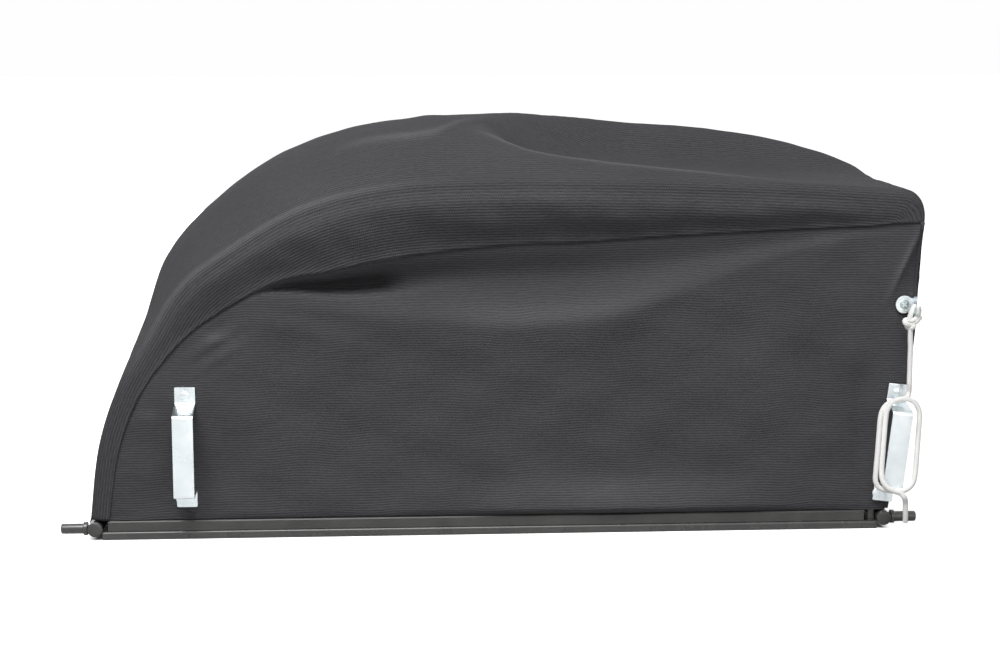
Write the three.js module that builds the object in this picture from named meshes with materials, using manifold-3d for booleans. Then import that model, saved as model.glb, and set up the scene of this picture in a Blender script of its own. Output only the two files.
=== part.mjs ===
// Grass collecting bag of a mower, standing on its mouth frame.
// Two steel rails and two end tubes make the mouth, two hoops of wire carry the cloth above it,
// and a cloth wrap runs from one end over the hoops to the other, between two side panels.
// Folded loops, a lug with a pull cord and two pivot pins sit on the near side.
// Millimetres, +Z up, +X along the bag, +Y away from the side with the fittings.
import * as THREE from 'three';
import { mergeVertices } from 'three/addons/utils/BufferGeometryUtils.js';
import Module from 'manifold-3d';

const wasm = await Module();
wasm.setup();

// Clearances
const fitGap = 0.3;

// Mouth frame
const bagDepth = 300;
const endTubeInset = 5;
const endTubeRadius = 7;
const endTubeWall = 1.5;
const endTubeHeight = 11;
const endTubeOverhang = 6;
const plugHeadThickness = 2;
const plugSpigotLength = 12;
const plugEdgeRadius = 2.5;
const railHeight = 8;
const railDepth = 12;
const railEdgeRadius = 2;
const railForward = 5;
const bladeThickness = 2;
const bladeHeight = 7.5;
const clipLegThickness = 2;
const clipTopThickness = 2.2;
const clipChamfer = 1;
const clipLeftGap = 12;
const clipRightGap = 19;
const endClipWall = 1.5;
const endClipSetback = 24;
const endClipWrap = THREE.MathUtils.degToRad(220);

// Pivot pins
const pinRadius = 5;
const pinLength = 21.2;
const pinChamfer = 1.5;
const collarRadius = 6.5;
const collarLength = 4;

// Cloth
const clothThickness = 1.5;
const hemHeight = 19.6;
const halfLength = 385;
const crownStart = 20;
const crownHeight = 344;
const cornerRun = 20.3;
const cornerStartHeight = 330.5;
const topOverhang = 27.3;
const cornerEndHeight = 304;
const rightEdgeBulge = 5;
const turnRadius = 10;
const turnShare = 0.45;
const seamLap = 8;
// Left shoulder, as shares of its run and of its rise
const shoulderShape = [[0.022, 0.208], [0.067, 0.38], [0.136, 0.535], [0.215, 0.689], [0.321, 0.793],
  [0.506, 0.923], [0.728, 0.988]];
// Width of the band below the crease, and rise of the cloth above its outline, as shares of the largest,
// by share of the outline
const bandWidth = 71;
const bandKeys = [[0, 0.254], [0.1, 0.31], [0.145, 0.394], [0.19, 0.62], [0.25, 0.732], [0.3, 0.958], [0.37, 1],
  [0.46, 0.901], [0.51, 0.873], [0.7, 0.563], [0.749, 0.423], [0.777, 0.099], [1, 0.099]];
const domeRise = 52;
const liftKeys = [[0, 0], [0.1, 0.058], [0.145, 0.135], [0.19, 0.48], [0.235, 0.73], [0.3, 0.865], [0.375, 0.96],
  [0.46, 1], [0.505, 0.904], [0.555, 0.808], [0.62, 0.72], [0.665, 0.635], [0.706, 0.44], [0.731, 0.29],
  [0.745, 0.17], [0.765, 0], [1, 0]];
const domeFullness = 0.9;
// The dome parts, between these shares, into a ridge beside the near crease and a lobe towards the far side
const foldStart = 0.41;
const foldFull = 0.475;
const foldSettled = 0.56;
const ridgeRise = 34;
const ridgeKeys = [[0.41, 1], [0.44, 0.88], [0.475, 0.56], [0.508, 0.38], [0.56, 0.235], [0.63, 0.074], [0.68, 0],
  [1, 0]];
const ridgePlaceKeys = [[0.41, 0.3], [0.44, 0.25], [0.475, 0.165], [0.508, 0.13], [0.56, 0.08], [0.63, 0.05], [1, 0.05]];
const lobeCentres = [0.56, 0.74];
const lobeWidths = [0.24, 0.15];
// Hollow and ridge of the near panel: centre along, centre up, half length, half height, depth
const hollow = [-155, 236, 130, 26, 9];
const softRidge = [120, 214, 220, 34, -4];
const panelFolds = [hollow, softRidge];
const foldFade = [0.06, 0.2];
// How much of a panel line's rise counts, beside its run, in sharing out the hem
const hemSpreadRise = 0.25;
// The hem stops this far short of the square end's edge, which leans out above it
const hemTuck = 0.6;

// Hoops, bows and posts
const hoopRadius = 4;
const hoopClearance = 0.6;
const bowClearance = 1.2;
const bowRadius = 3;
const shoulderBowShare = 0.19;
const crownBowShare = 0.4;
const cornerRodShare = 0.777;
const postThickness = 3;
const leftPostWidth = 16;
const rightPostWidth = 16;
const rightPostEdge = 6;
const rightPostTop = 232;
const rightTangGap = 14;
const rightTangWidth = 6;
const rightTangTop = 27;

// Folded loops
const loopWidth = 19.5;
const loopSheet = 2;
const loopReach = 32;
const loopBend = 3.5;
const loopHalfHeight = 58;
const loopTabHeight = 16.8;
const loopStrapTop = 35;
const loopStrapBottom = -42.5;
const loopFootHeight = 16.7;
const tabRivetHeight = 49.5;
const footRivetHeight = -50.5;
const footRivetSide = -5.5;
const leftLoopInset = 92.5;
const leftLoopHeight = 89.3;
const rightLoopInset = 10.4;
const rightLoopHeight = 85.5;
const rightLoopLean = THREE.MathUtils.degToRad(6.5);

// Rivets
const rivetRadius = 2.2;
const rivetHoleRadius = 2.5;
const rivetHeadRadius = 5.2;
const rivetHeadHeight = 2.2;

// Cord lug
const lugInset = 14.4;
const lugHeight = 220.5;
const lugDiscRadius = 8.5;
const lugSheet = 2;
const lugEarOffset = 8;
const lugEarReach = 22;
const lugEarRadius = 9;
const lugNeckHeight = 12;
const lugHoleRadius = 4.6;
const lugBend = 2.5;

// Cord
const cordDiameter = 5;
const knotWidth = 17;
const knotHeight = 15;
const knotDepth = 11;
const knotCentre = [397, 204.3, 15];
const dropPoints = [[397.3, 196.4, 15], [398, 180, 15.2], [397.8, 158, 16], [397.3, 134.3, 19]];
const hankWidth = 43;
const hankHeight = 94;
const hankCorner = 16;
const hankOpeningWidth = 22.5;
const hankOpeningHeight = 79;
const hankOpeningCorner = 5;
const hankThickness = 6;
const hankRise = 3.1;
const hankReach = 28.5;
const hankTilt = THREE.MathUtils.degToRad(13.4);
const tailPoints = [[390.9, 41.5, 40.2], [391.9, 28, 38.5], [392.9, 13.1, 35]];

// Facets
const roundSides = 16;
const rivetSides = 12;
const wireSides = 8;
const hoopSteps = 78;
const bowSteps = 16;
const bowPoints = 14;
const bendSteps = 4;
const postSteps = 6;
const dropSteps = 8;
const tailSteps = 4;
const hankCornerSteps = 5;
const knotSides = [14, 8];

// Planes and lines that follow from the sizes above
const nearPlane = -bagDepth / 2;
const bandPlane = nearPlane - fitGap - clothThickness;
const endTubeX = halfLength - endTubeInset;
const nearClipEnds = [clipLeftGap - endTubeX, endTubeX - clipRightGap];
const cornerReach = halfLength + topOverhang;
const cornerStart = cornerReach - cornerRun;
const tubeEnd = bagDepth / 2 + endTubeOverhang;
const plugReach = endTubeOverhang + fitGap + plugHeadThickness;
const panelSeat = nearPlane - fitGap;
const bandSeat = bandPlane - fitGap;
const postBack = nearPlane + clothThickness + fitGap + postThickness;
const hoopY = postBack + fitGap + hoopRadius;
const hoopInset = clothThickness + hoopClearance + hoopRadius;
const railCentreY = nearPlane - railForward + railDepth / 2;
const clipTop = railHeight + bladeHeight + fitGap + clipTopThickness;
const panelHem = Math.max(clipTop, endTubeHeight + endTubeRadius) + fitGap;
const clipHalfDepth = bladeThickness / 2 + fitGap + clipLegThickness;
const depthShift = (nearPlane - bandSeat + loopReach - plugReach) / 2;

const steel = new THREE.MeshStandardMaterial({ color: 0x202123, roughness: 0.45, metalness: 0.6 });
const zinc = new THREE.MeshStandardMaterial({ color: 0xc9d2d8, roughness: 0.3, metalness: 0.9 });
const plastic = new THREE.MeshStandardMaterial({ color: 0x2a2a2b, roughness: 0.5, metalness: 0 });
const cloth = new THREE.MeshStandardMaterial({ color: 0x47464a, roughness: 0.9, metalness: 0 });
const cordWhite = new THREE.MeshStandardMaterial({ color: 0xe9e6e1, roughness: 0.85, metalness: 0 });

const bag = new THREE.Group();
bag.position.y = depthShift;

function addPiece(name, geometry, material) {
  const piece = new THREE.Mesh(geometry, material);
  piece.name = name;
  bag.add(piece);
  return piece;
}

// A closed geometry as a solid for cutting and joining, and back
function solidOf(geometry) {
  const bare = geometry.clone();
  bare.deleteAttribute('normal');
  bare.deleteAttribute('uv');
  const merged = mergeVertices(bare, 1e-4);
  const mesh = new wasm.Mesh({
    numProp: 3,
    vertProperties: new Float32Array(merged.attributes.position.array),
    triVerts: new Uint32Array(merged.index.array),
  });
  return new wasm.Manifold(mesh);
}

function geometryOf(solid) {
  const mesh = solid.getMesh();
  const geometry = new THREE.BufferGeometry();
  geometry.setAttribute('position', new THREE.BufferAttribute(new Float32Array(mesh.vertProperties), 3));
  geometry.setIndex(new THREE.BufferAttribute(new Uint32Array(mesh.triVerts), 1));
  return geometry;
}

function cutFrom(geometry, ...tools) {
  let solid = solidOf(geometry);
  for (const tool of tools) solid = solid.subtract(solidOf(tool));
  return geometryOf(solid);
}

// A round bar along Y, used for holes through the near side
function holeTool(x, z, radius) {
  const bar = new THREE.CylinderGeometry(radius, radius, bagDepth / 4, rivetSides);
  return bar.translate(x, nearPlane, z);
}

// A turned piece whose axis lies along X or Y, from [radius, position] points
function turned(profile, axis, segments = roundSides) {
  const geometry = new THREE.LatheGeometry(profile.map(([r, at]) => new THREE.Vector2(r, at)), segments);
  if (axis === 'x') return geometry.rotateZ(-Math.PI / 2);
  return geometry;
}

// A wire or cord of round section along a curve
function wire(curve, radius, steps, sides = wireSides) {
  const section = new THREE.Shape();
  for (let side = 0; side < sides; side += 1) {
    const angle = (2 * Math.PI * side) / sides;
    const x = radius * Math.cos(angle);
    const y = radius * Math.sin(angle);
    if (side === 0) section.moveTo(x, y);
    else section.lineTo(x, y);
  }
  return new THREE.ExtrudeGeometry(section, { steps, extrudePath: curve, curveSegments: 1 });
}

// A smooth function through [share, value] keys
function valueThrough(keys) {
  const slope = (i) => {
    const before = keys[Math.max(0, i - 1)];
    const after = keys[Math.min(keys.length - 1, i + 1)];
    return (after[1] - before[1]) / (after[0] - before[0]);
  };
  return (share) => {
    let i = 0;
    while (i < keys.length - 2 && share > keys[i + 1][0]) i += 1;
    const span = keys[i + 1][0] - keys[i][0];
    const t = THREE.MathUtils.clamp((share - keys[i][0]) / span, 0, 1);
    const rise = keys[i + 1][1] - keys[i][1];
    const steep = 3 * Math.abs(rise / span);
    const limit = (value) => THREE.MathUtils.clamp(value, -steep, steep);
    const [m0, m1] = [limit(slope(i)) * span, limit(slope(i + 1)) * span];
    const [t2, t3] = [t * t, t * t * t];
    return keys[i][1] * (2 * t3 - 3 * t2 + 1) + m0 * (t3 - 2 * t2 + t)
      + keys[i + 1][1] * (3 * t2 - 2 * t3) + m1 * (t3 - t2);
  };
}

// Outline of the bag seen from the near side: shoulder, crown, corner and right edge, as x and z
const shoulderPoints = [[0, 0], ...shoulderShape, [1, 1]].map(([run, rise]) => new THREE.Vector2(
  THREE.MathUtils.lerp(-halfLength, crownStart, run),
  THREE.MathUtils.lerp(hemHeight, crownHeight, rise),
));
const crownSlope = (crownHeight - cornerStartHeight) / (cornerStart - crownStart);
const outlinePieces = [
  new THREE.SplineCurve(shoulderPoints),
  new THREE.QuadraticBezierCurve(
    new THREE.Vector2(crownStart, crownHeight),
    new THREE.Vector2((crownStart + cornerStart) / 2, crownHeight),
    new THREE.Vector2(cornerStart, cornerStartHeight),
  ),
  new THREE.QuadraticBezierCurve(
    new THREE.Vector2(cornerStart, cornerStartHeight),
    new THREE.Vector2(cornerReach, cornerStartHeight - 2 * crownSlope * (cornerReach - cornerStart)),
    new THREE.Vector2(cornerReach, cornerEndHeight),
  ),
  new THREE.QuadraticBezierCurve(
    new THREE.Vector2(cornerReach, cornerEndHeight),
    new THREE.Vector2((cornerReach + halfLength) / 2 + 2 * rightEdgeBulge, (cornerEndHeight + hemHeight) / 2),
    new THREE.Vector2(halfLength, hemHeight),
  ),
];
const outline = new THREE.CurvePath();
outline.curves.push(...outlinePieces);
outline.arcLengthDivisions = 800;
const outlineLength = outline.getLength();

function outlineAt(share) {
  const point = outline.getPointAt(share);
  const tangent = outline.getTangentAt(share);
  return { point, outward: new THREE.Vector2(-tangent.y, tangent.x) };
}

// Shares of the outline at which each cloth piece has a row, closer together round the corner
function outlineRows(stepsPerPiece) {
  const rows = [];
  let travelled = 0;
  outlinePieces.forEach((piece, index) => {
    const length = piece.getLength();
    const steps = stepsPerPiece[index];
    for (let step = 0; step < steps; step += 1) rows.push((travelled + (length * step) / steps) / outlineLength);
    travelled += length;
  });
  rows.push(1);
  return rows;
}

const bandShareAt = valueThrough(bandKeys);
const liftShareAt = valueThrough(liftKeys);
const ridgeShareAt = valueThrough(ridgeKeys);
const bandWidthAt = (share) => bandWidth * bandShareAt(share);
const liftAt = (share) => domeRise * liftShareAt(share);
const ridgeAt = (share) => ridgeRise * ridgeShareAt(share);
const ridgePlaceAt = valueThrough(ridgePlaceKeys);
const turnRadiusAt = (share) => Math.min(turnRadius, turnShare * bandWidthAt(share));

// Lift of the wrap above its outline, where across runs from 0 at the near crease to 1 at the far one:
// one dome over the left half, a ridge and a lobe with a hollow between them over the right half
function wrapLift(share, across) {
  const blend = THREE.MathUtils.smoothstep(share, foldStart, foldFull);
  const settled = THREE.MathUtils.smoothstep(share, foldStart, foldSettled);
  const dome = Math.sin(Math.PI * across) ** domeFullness;
  const lobeCentre = THREE.MathUtils.lerp(...lobeCentres, settled);
  const lobeWidth = THREE.MathUtils.lerp(...lobeWidths, settled);
  const taper = Math.sqrt(THREE.MathUtils.clamp((1 - across) / (1 - lobeCentre), 0, 1));
  const lobe = taper * Math.exp(-(((across - lobeCentre) / lobeWidth) ** 2));
  const beside = across / ridgePlaceAt(share);
  const ridge = (1 - lobe) * (beside * Math.exp(1 - beside)) ** 2;
  return (1 - blend) * liftAt(share) * dome + blend * (liftAt(share) * lobe + ridgeAt(share) * ridge);
}

// A point at an inset from the outline and a place in depth
function insetPoint(share, inset, y) {
  const { point, outward } = outlineAt(share);
  return new THREE.Vector3(point.x - inset * outward.x, y, Math.max(hemHeight, point.y - inset * outward.y));
}

// Outer face of the wrap. Across runs from 0 at the near seam to 5 at the far seam:
// band, turn, top, turn, band
function wrapPoint(share, across) {
  const far = across > 2.5;
  const along = far ? 5 - across : across;
  const turn = turnRadiusAt(share);
  let inset;
  let fromBand;
  if (along <= 1) {
    inset = THREE.MathUtils.lerp(bandWidthAt(share), turn, along);
    fromBand = 0;
  } else if (along <= 2) {
    const angle = ((along - 1) * Math.PI) / 2;
    inset = turn * (1 - Math.sin(angle));
    fromBand = turn * (1 - Math.cos(angle));
  } else {
    const share01 = across - 2;
    inset = -wrapLift(share, share01);
    fromBand = turn + (far ? 1 - share01 : share01) * (-2 * bandPlane - 2 * turn);
  }
  const y = bandPlane + fromBand;
  return insetPoint(share, inset, far ? -y : y);
}

// A closed sheet of even thickness under a grid of outer points
function sheet(rows, columns, pointAt, thickness) {
  const outer = rows.map((row) => columns.map((column) => pointAt(row, column)));
  const last = [rows.length - 1, columns.length - 1];
  const normalAt = (i, j) => {
    const along = outer[Math.min(i + 1, last[0])][j].clone().sub(outer[Math.max(i - 1, 0)][j]);
    const over = outer[i][Math.min(j + 1, last[1])].clone().sub(outer[i][Math.max(j - 1, 0)]);
    return along.cross(over).normalize();
  };
  const positions = [];
  const count = rows.length * columns.length;
  const index = (i, j) => i * columns.length + j;
  outer.forEach((line) => line.forEach((p) => positions.push(p.x, p.y, p.z)));
  outer.forEach((line, i) => line.forEach((p, j) => {
    const inner = p.clone().addScaledVector(normalAt(i, j), -thickness);
    positions.push(inner.x, inner.y, inner.z);
  }));
  const faces = [];
  const quad = (a, b, c, d) => faces.push(a, b, c, a, c, d);
  for (let i = 0; i < last[0]; i += 1) {
    for (let j = 0; j < last[1]; j += 1) {
      quad(index(i, j), index(i + 1, j), index(i + 1, j + 1), index(i, j + 1));
      quad(count + index(i, j), count + index(i, j + 1), count + index(i + 1, j + 1), count + index(i + 1, j));
    }
  }
  for (let i = 0; i < last[0]; i += 1) {
    quad(index(i + 1, 0), index(i, 0), count + index(i, 0), count + index(i + 1, 0));
    quad(index(i, last[1]), index(i + 1, last[1]), count + index(i + 1, last[1]), count + index(i, last[1]));
  }
  for (let j = 0; j < last[1]; j += 1) {
    quad(index(0, j), index(0, j + 1), count + index(0, j + 1), count + index(0, j));
    quad(index(last[0], j + 1), index(last[0], j), count + index(last[0], j), count + index(last[0], j + 1));
  }
  const geometry = new THREE.BufferGeometry();
  geometry.setAttribute('position', new THREE.BufferAttribute(new Float32Array(positions), 3));
  geometry.setIndex(faces);
  return geometry;
}

function evenSteps(from, to, count) {
  return Array.from({ length: count + 1 }, (unused, i) => from + ((to - from) * i) / count);
}

// Side panel under the band: upright lines fan from the hem to the seam
const panelRows = outlineRows([14, 9, 3, 4]);
const panelInsetAt = (share) => Math.max(turnRadiusAt(share), bandWidthAt(share) - seamLap);
const panelEdge = panelRows.map((share) => insetPoint(share, panelInsetAt(share), 0));
const hemSpread = [0];
panelEdge.slice(1).forEach((p, i) => {
  const step = Math.abs(p.x - panelEdge[i].x) + hemSpreadRise * Math.abs(p.z - panelEdge[i].z);
  hemSpread.push(hemSpread[i] + step);
});

function panelDrape(x, z, far) {
  if (far) return 0;
  return panelFolds.reduce((sum, [along, up, halfAlong, halfUp, depth]) => {
    const apart = ((x - along) / halfAlong) ** 2 + ((z - up) / halfUp) ** 2;
    return sum + depth * Math.max(0, 1 - apart) ** 2;
  }, 0);
}

function panelPoint(row, up, far) {
  const edge = panelEdge[row];
  const hemX = THREE.MathUtils.lerp(panelEdge[0].x, panelEdge.at(-1).x - hemTuck, hemSpread[row] / hemSpread.at(-1));
  const x = THREE.MathUtils.lerp(hemX, edge.x, up);
  const z = THREE.MathUtils.lerp(panelHem, edge.z, up);
  const fade = THREE.MathUtils.smoothstep(1 - up, ...foldFade);
  const y = nearPlane + fade * panelDrape(x, z, far);
  return new THREE.Vector3(x, far ? -y : y, z);
}

// Mouth frame: rails with a blade that the edge clips are pushed on
const railHalfLength = endTubeX - Math.sqrt(endTubeRadius ** 2 - (endTubeHeight - railHeight) ** 2) - fitGap;

function roundedBox(halfWidth, low, high, radius) {
  const shape = new THREE.Shape();
  shape.moveTo(-halfWidth + radius, low);
  shape.lineTo(halfWidth - radius, low);
  shape.absarc(halfWidth - radius, low + radius, radius, -Math.PI / 2, 0);
  shape.lineTo(halfWidth, high - radius);
  shape.absarc(halfWidth - radius, high - radius, radius, 0, Math.PI / 2);
  shape.lineTo(-halfWidth + radius, high);
  shape.absarc(-halfWidth + radius, high - radius, radius, Math.PI / 2, Math.PI);
  shape.lineTo(-halfWidth, low + radius);
  shape.absarc(-halfWidth + radius, low + radius, radius, Math.PI, 1.5 * Math.PI);
  return shape;
}

// A section in y and z, drawn out along X between two ends
function drawnOut(shape, from, to, curveSegments = 3) {
  const geometry = new THREE.ExtrudeGeometry(shape, { depth: to - from, bevelEnabled: false, curveSegments });
  return geometry.rotateX(Math.PI / 2).rotateZ(Math.PI / 2).translate(from, 0, 0);
}

function boxShape(low, high) {
  const shape = new THREE.Shape();
  shape.moveTo(low[0], low[1]);
  shape.lineTo(high[0], low[1]);
  shape.lineTo(high[0], high[1]);
  shape.lineTo(low[0], high[1]);
  return shape;
}

function railGeometry(bladeEnds) {
  const bar = roundedBox(railDepth / 2, 0, railHeight, railEdgeRadius);
  const barSolid = solidOf(drawnOut(bar, -railHalfLength, railHalfLength).translate(0, railCentreY, 0));
  const half = bladeThickness / 2;
  const blade = boxShape([nearPlane - half, railHeight / 2], [nearPlane + half, railHeight + bladeHeight]);
  return geometryOf(barSolid.add(solidOf(drawnOut(blade, bladeEnds[0], bladeEnds[1]))));
}

function clipGeometry(ends) {
  const inner = bladeThickness / 2 + fitGap;
  const bottom = railHeight + fitGap;
  const shape = new THREE.Shape();
  const corners = [[-clipHalfDepth, bottom], [-inner, bottom], [-inner, clipTop - clipTopThickness],
    [inner, clipTop - clipTopThickness], [inner, bottom], [clipHalfDepth, bottom],
    [clipHalfDepth, clipTop - clipChamfer], [clipHalfDepth - clipChamfer, clipTop],
    [clipChamfer - clipHalfDepth, clipTop], [-clipHalfDepth, clipTop - clipChamfer]];
  shape.setFromPoints(corners.map(([y, z]) => new THREE.Vector2(nearPlane + y, z)));
  return drawnOut(shape, ends[0], ends[1]);
}

addPiece('front_rail', railGeometry(nearClipEnds), steel);
const rearClipEnds = [-nearClipEnds[1], -nearClipEnds[0]];
addPiece('rear_rail', railGeometry(rearClipEnds), steel).rotation.z = Math.PI;

const leftLoopCentre = [leftLoopInset - halfLength, leftLoopHeight];
const leftPostSpan = [leftLoopCentre[0] - leftPostWidth / 2, leftLoopCentre[0] + leftPostWidth / 2];
const postNotch = new THREE.BoxGeometry(leftPostWidth + 2 * fitGap, clipHalfDepth, 2 * clipTop)
  .translate(leftLoopCentre[0], nearPlane + clothThickness + clipHalfDepth / 2, clipTop);
addPiece('front_edge_clip', cutFrom(clipGeometry(nearClipEnds), postNotch), plastic);
addPiece('rear_edge_clip', clipGeometry(rearClipEnds), plastic).rotation.z = Math.PI;

// End tubes, their plugs and the round clips that hold the ends of the wrap
const boreRadius = endTubeRadius - endTubeWall;
[['left', -1], ['right', 1]].forEach(([side, sign]) => {
  const tube = turned([[boreRadius, -tubeEnd], [endTubeRadius, -tubeEnd], [endTubeRadius, tubeEnd],
    [boreRadius, tubeEnd], [boreRadius, -tubeEnd]], 'y');
  addPiece(`${side}_end_tube`, tube.translate(sign * endTubeX, 0, endTubeHeight), steel);

  const headStart = tubeEnd + fitGap;
  const headEnd = headStart + plugHeadThickness;
  const spigot = boreRadius - fitGap;
  const plug = [[0, tubeEnd - plugSpigotLength], [spigot, tubeEnd - plugSpigotLength], [spigot, headStart],
    [endTubeRadius, headStart], [endTubeRadius - plugEdgeRadius / 4, headEnd - plugEdgeRadius / 4],
    [endTubeRadius - plugEdgeRadius, headEnd], [0, headEnd]];
  [['rear', 0], ['front', Math.PI]].forEach(([face, spin]) => {
    const piece = turned(plug, 'y').rotateZ(spin).translate(sign * endTubeX, 0, endTubeHeight);
    addPiece(`${side}_${face}_tube_plug`, piece, plastic);
  });

  const clipInner = endTubeRadius + fitGap;
  const clipOuter = clipInner + endClipWall;
  const section = new THREE.Shape();
  const start = Math.PI / 2 - endClipWrap / 2;
  section.absarc(0, 0, clipOuter, start, start + endClipWrap, false);
  section.absarc(0, 0, clipInner, start + endClipWrap, start, true);
  const half = bagDepth / 2 - endClipSetback;
  const clip = new THREE.ExtrudeGeometry(section, { depth: 2 * half, bevelEnabled: false, curveSegments: 7 });
  clip.translate(0, 0, -half).rotateX(Math.PI / 2).translate(sign * endTubeX, 0, endTubeHeight);
  addPiece(`${side}_edge_clip`, clip, plastic);

  const pinStart = endTubeX + endTubeRadius + fitGap;
  const pinEnd = pinStart + collarLength + pinLength;
  const pin = turned([[0, pinStart], [collarRadius, pinStart], [collarRadius, pinStart + collarLength],
    [pinRadius, pinStart + collarLength], [pinRadius, pinEnd - pinChamfer], [pinRadius - pinChamfer, pinEnd],
    [0, pinEnd]], 'x');
  if (sign < 0) pin.rotateZ(Math.PI);
  addPiece(`${side}_pivot_pin`, pin.translate(0, nearPlane, endTubeHeight), steel);
});

// Hoops: bent wire that follows the outline from one end tube to the other
const hoopShares = outlineRows([18, 6, 6, 6]);
const hoopFoot = endTubeHeight + endTubeRadius + fitGap;
function hoopCurve(y) {
  const points = hoopShares.map((share) => insetPoint(share, hoopInset, y));
  points[0].z = hoopFoot;
  points.at(-1).z = hoopFoot;
  return new THREE.CatmullRomCurve3(points, false, 'centripetal');
}
addPiece('front_hoop', wire(hoopCurve(hoopY), hoopRadius, hoopSteps), steel);
addPiece('rear_hoop', wire(hoopCurve(-hoopY), hoopRadius, hoopSteps), steel);

// Bows arch from hoop to hoop under the cloth, and a straight rod joins the two top corners
function bowCurve(share) {
  const end = -hoopY - hoopRadius - fitGap;
  const acrossAt = (y) => (y - bandPlane - turnRadius) / (-2 * bandPlane - 2 * turnRadius);
  const endLift = wrapLift(share, acrossAt(-end));
  const middleLift = wrapLift(share, 0.5);
  const room = middleLift + hoopInset - bowClearance - clothThickness - bowRadius;
  const gain = room / (middleLift - endLift - bowRadius);
  const points = evenSteps(-end + bowRadius, end - bowRadius, bowPoints).map((y) => {
    const rise = middleLift > 0 ? gain * Math.max(0, wrapLift(share, acrossAt(y)) - endLift - bowRadius) : 0;
    return insetPoint(share, hoopInset - rise, y);
  });
  points.unshift(insetPoint(share, hoopInset, -end));
  points.push(insetPoint(share, hoopInset, end));
  return new THREE.CatmullRomCurve3(points, false, 'centripetal');
}
addPiece('shoulder_bow', wire(bowCurve(shoulderBowShare), bowRadius, bowSteps), steel);
addPiece('crown_bow', wire(bowCurve(crownBowShare), bowRadius, bowSteps), steel);
addPiece('corner_rod', wire(bowCurve(cornerRodShare), bowRadius, 1), steel);

// The bag's right edge at a height, which the right loop, its post and the lug follow
const halvings = 30;
function rightEdgeAt(z) {
  let [low, high] = [0, 1];
  for (let round = 0; round < halvings; round += 1) {
    const middle = (low + high) / 2;
    if (outlinePieces[3].getPoint(middle).y > z) low = middle;
    else high = middle;
  }
  return outlinePieces[3].getPoint(low).x;
}
const rightLoopCentre = [rightEdgeAt(rightLoopHeight) - rightLoopInset, rightLoopHeight];
const lugCentre = [rightEdgeAt(lugHeight) - lugInset, lugHeight];

// Folded loops, placed by their middle and leaned with the bag's right edge
function loopPlace(centre, lean, side, up) {
  return [centre[0] + side * Math.cos(lean) + up * Math.sin(lean), centre[1] + up * Math.cos(lean) - side * Math.sin(lean)];
}

// Outline of a strip of sheet that follows a bent centre line, with rounded bends
function bentStrip(corners, bend, thickness) {
  const line = [new THREE.Vector2(...corners[0])];
  for (let i = 1; i < corners.length - 1; i += 1) {
    const [before, corner, after] = [corners[i - 1], corners[i], corners[i + 1]].map((c) => new THREE.Vector2(...c));
    const into = corner.clone().sub(before).normalize();
    const out = after.clone().sub(corner).normalize();
    const trim = bend * Math.tan(Math.acos(THREE.MathUtils.clamp(into.dot(out), -1, 1)) / 2);
    const arc = new THREE.QuadraticBezierCurve(corner.clone().addScaledVector(into, -trim), corner,
      corner.clone().addScaledVector(out, trim));
    line.push(...arc.getPoints(bendSteps));
  }
  line.push(new THREE.Vector2(...corners.at(-1)));
  const sideways = line.map((p, i) => {
    const along = line[Math.min(i + 1, line.length - 1)].clone().sub(line[Math.max(i - 1, 0)]).normalize();
    return new THREE.Vector2(-along.y, along.x).multiplyScalar(thickness / 2);
  });
  const oneSide = line.map((p, i) => p.clone().add(sideways[i]));
  const otherSide = line.map((p, i) => p.clone().sub(sideways[i])).reverse();
  return new THREE.Shape([...oneSide, ...otherSide]);
}

const sheetMiddle = loopSheet / 2;
const loopLine = [
  [-sheetMiddle, loopHalfHeight], [-sheetMiddle, loopHalfHeight - loopTabHeight],
  [sheetMiddle - loopReach, loopStrapTop], [sheetMiddle - loopReach, loopStrapBottom],
  [-sheetMiddle, loopFootHeight - loopHalfHeight], [-sheetMiddle, -loopHalfHeight],
];

function loopGeometry(centre, lean, seat) {
  const strip = drawnOut(bentStrip(loopLine, loopBend, loopSheet), -loopWidth / 2, loopWidth / 2);
  strip.rotateY(lean).translate(centre[0], seat, centre[1]);
  return cutFrom(strip, ...rivetPlaces(centre, lean).map(([x, z]) => holeTool(x, z, rivetHoleRadius)));
}

function rivetPlaces(centre, lean) {
  return [loopPlace(centre, lean, 0, tabRivetHeight), loopPlace(centre, lean, footRivetSide, footRivetHeight)];
}

addPiece('left_loop', loopGeometry(leftLoopCentre, 0, panelSeat), zinc);
addPiece('right_loop', loopGeometry(rightLoopCentre, rightLoopLean, bandSeat), zinc);

const leftRivets = rivetPlaces(leftLoopCentre, 0);
const rightRivets = rivetPlaces(rightLoopCentre, rightLoopLean);

// Posts behind the near panel, which the loops and the lug are riveted to
function outlineHeightAt(x) {
  let [low, high] = [0, foldStart];
  for (let round = 0; round < halvings; round += 1) {
    const middle = (low + high) / 2;
    if (outlineAt(middle).point.x < x) low = middle;
    else high = middle;
  }
  const { point, outward } = outlineAt(low);
  return point.y - hoopInset / outward.y;
}

// A flat outline in x and z, given its thickness behind a plane of constant y
function plate(corners, front, thickness) {
  const shape = new THREE.Shape(corners.map(([x, z]) => new THREE.Vector2(x, z)));
  const geometry = new THREE.ExtrudeGeometry(shape, { depth: thickness, bevelEnabled: false });
  return geometry.rotateX(Math.PI / 2).translate(0, front + thickness, 0);
}

const postFoot = railHeight + fitGap;
const postFront = postBack - postThickness;
const leftPost = plate([
  [leftPostSpan[0], postFoot], [leftPostSpan[1], postFoot],
  [leftPostSpan[1], outlineHeightAt(leftPostSpan[1])], [leftPostSpan[0], outlineHeightAt(leftPostSpan[0])],
], postFront, postThickness);
addPiece('left_post', cutFrom(leftPost, ...leftRivets.map(([x, z]) => holeTool(x, z, rivetHoleRadius))), steel);

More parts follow.
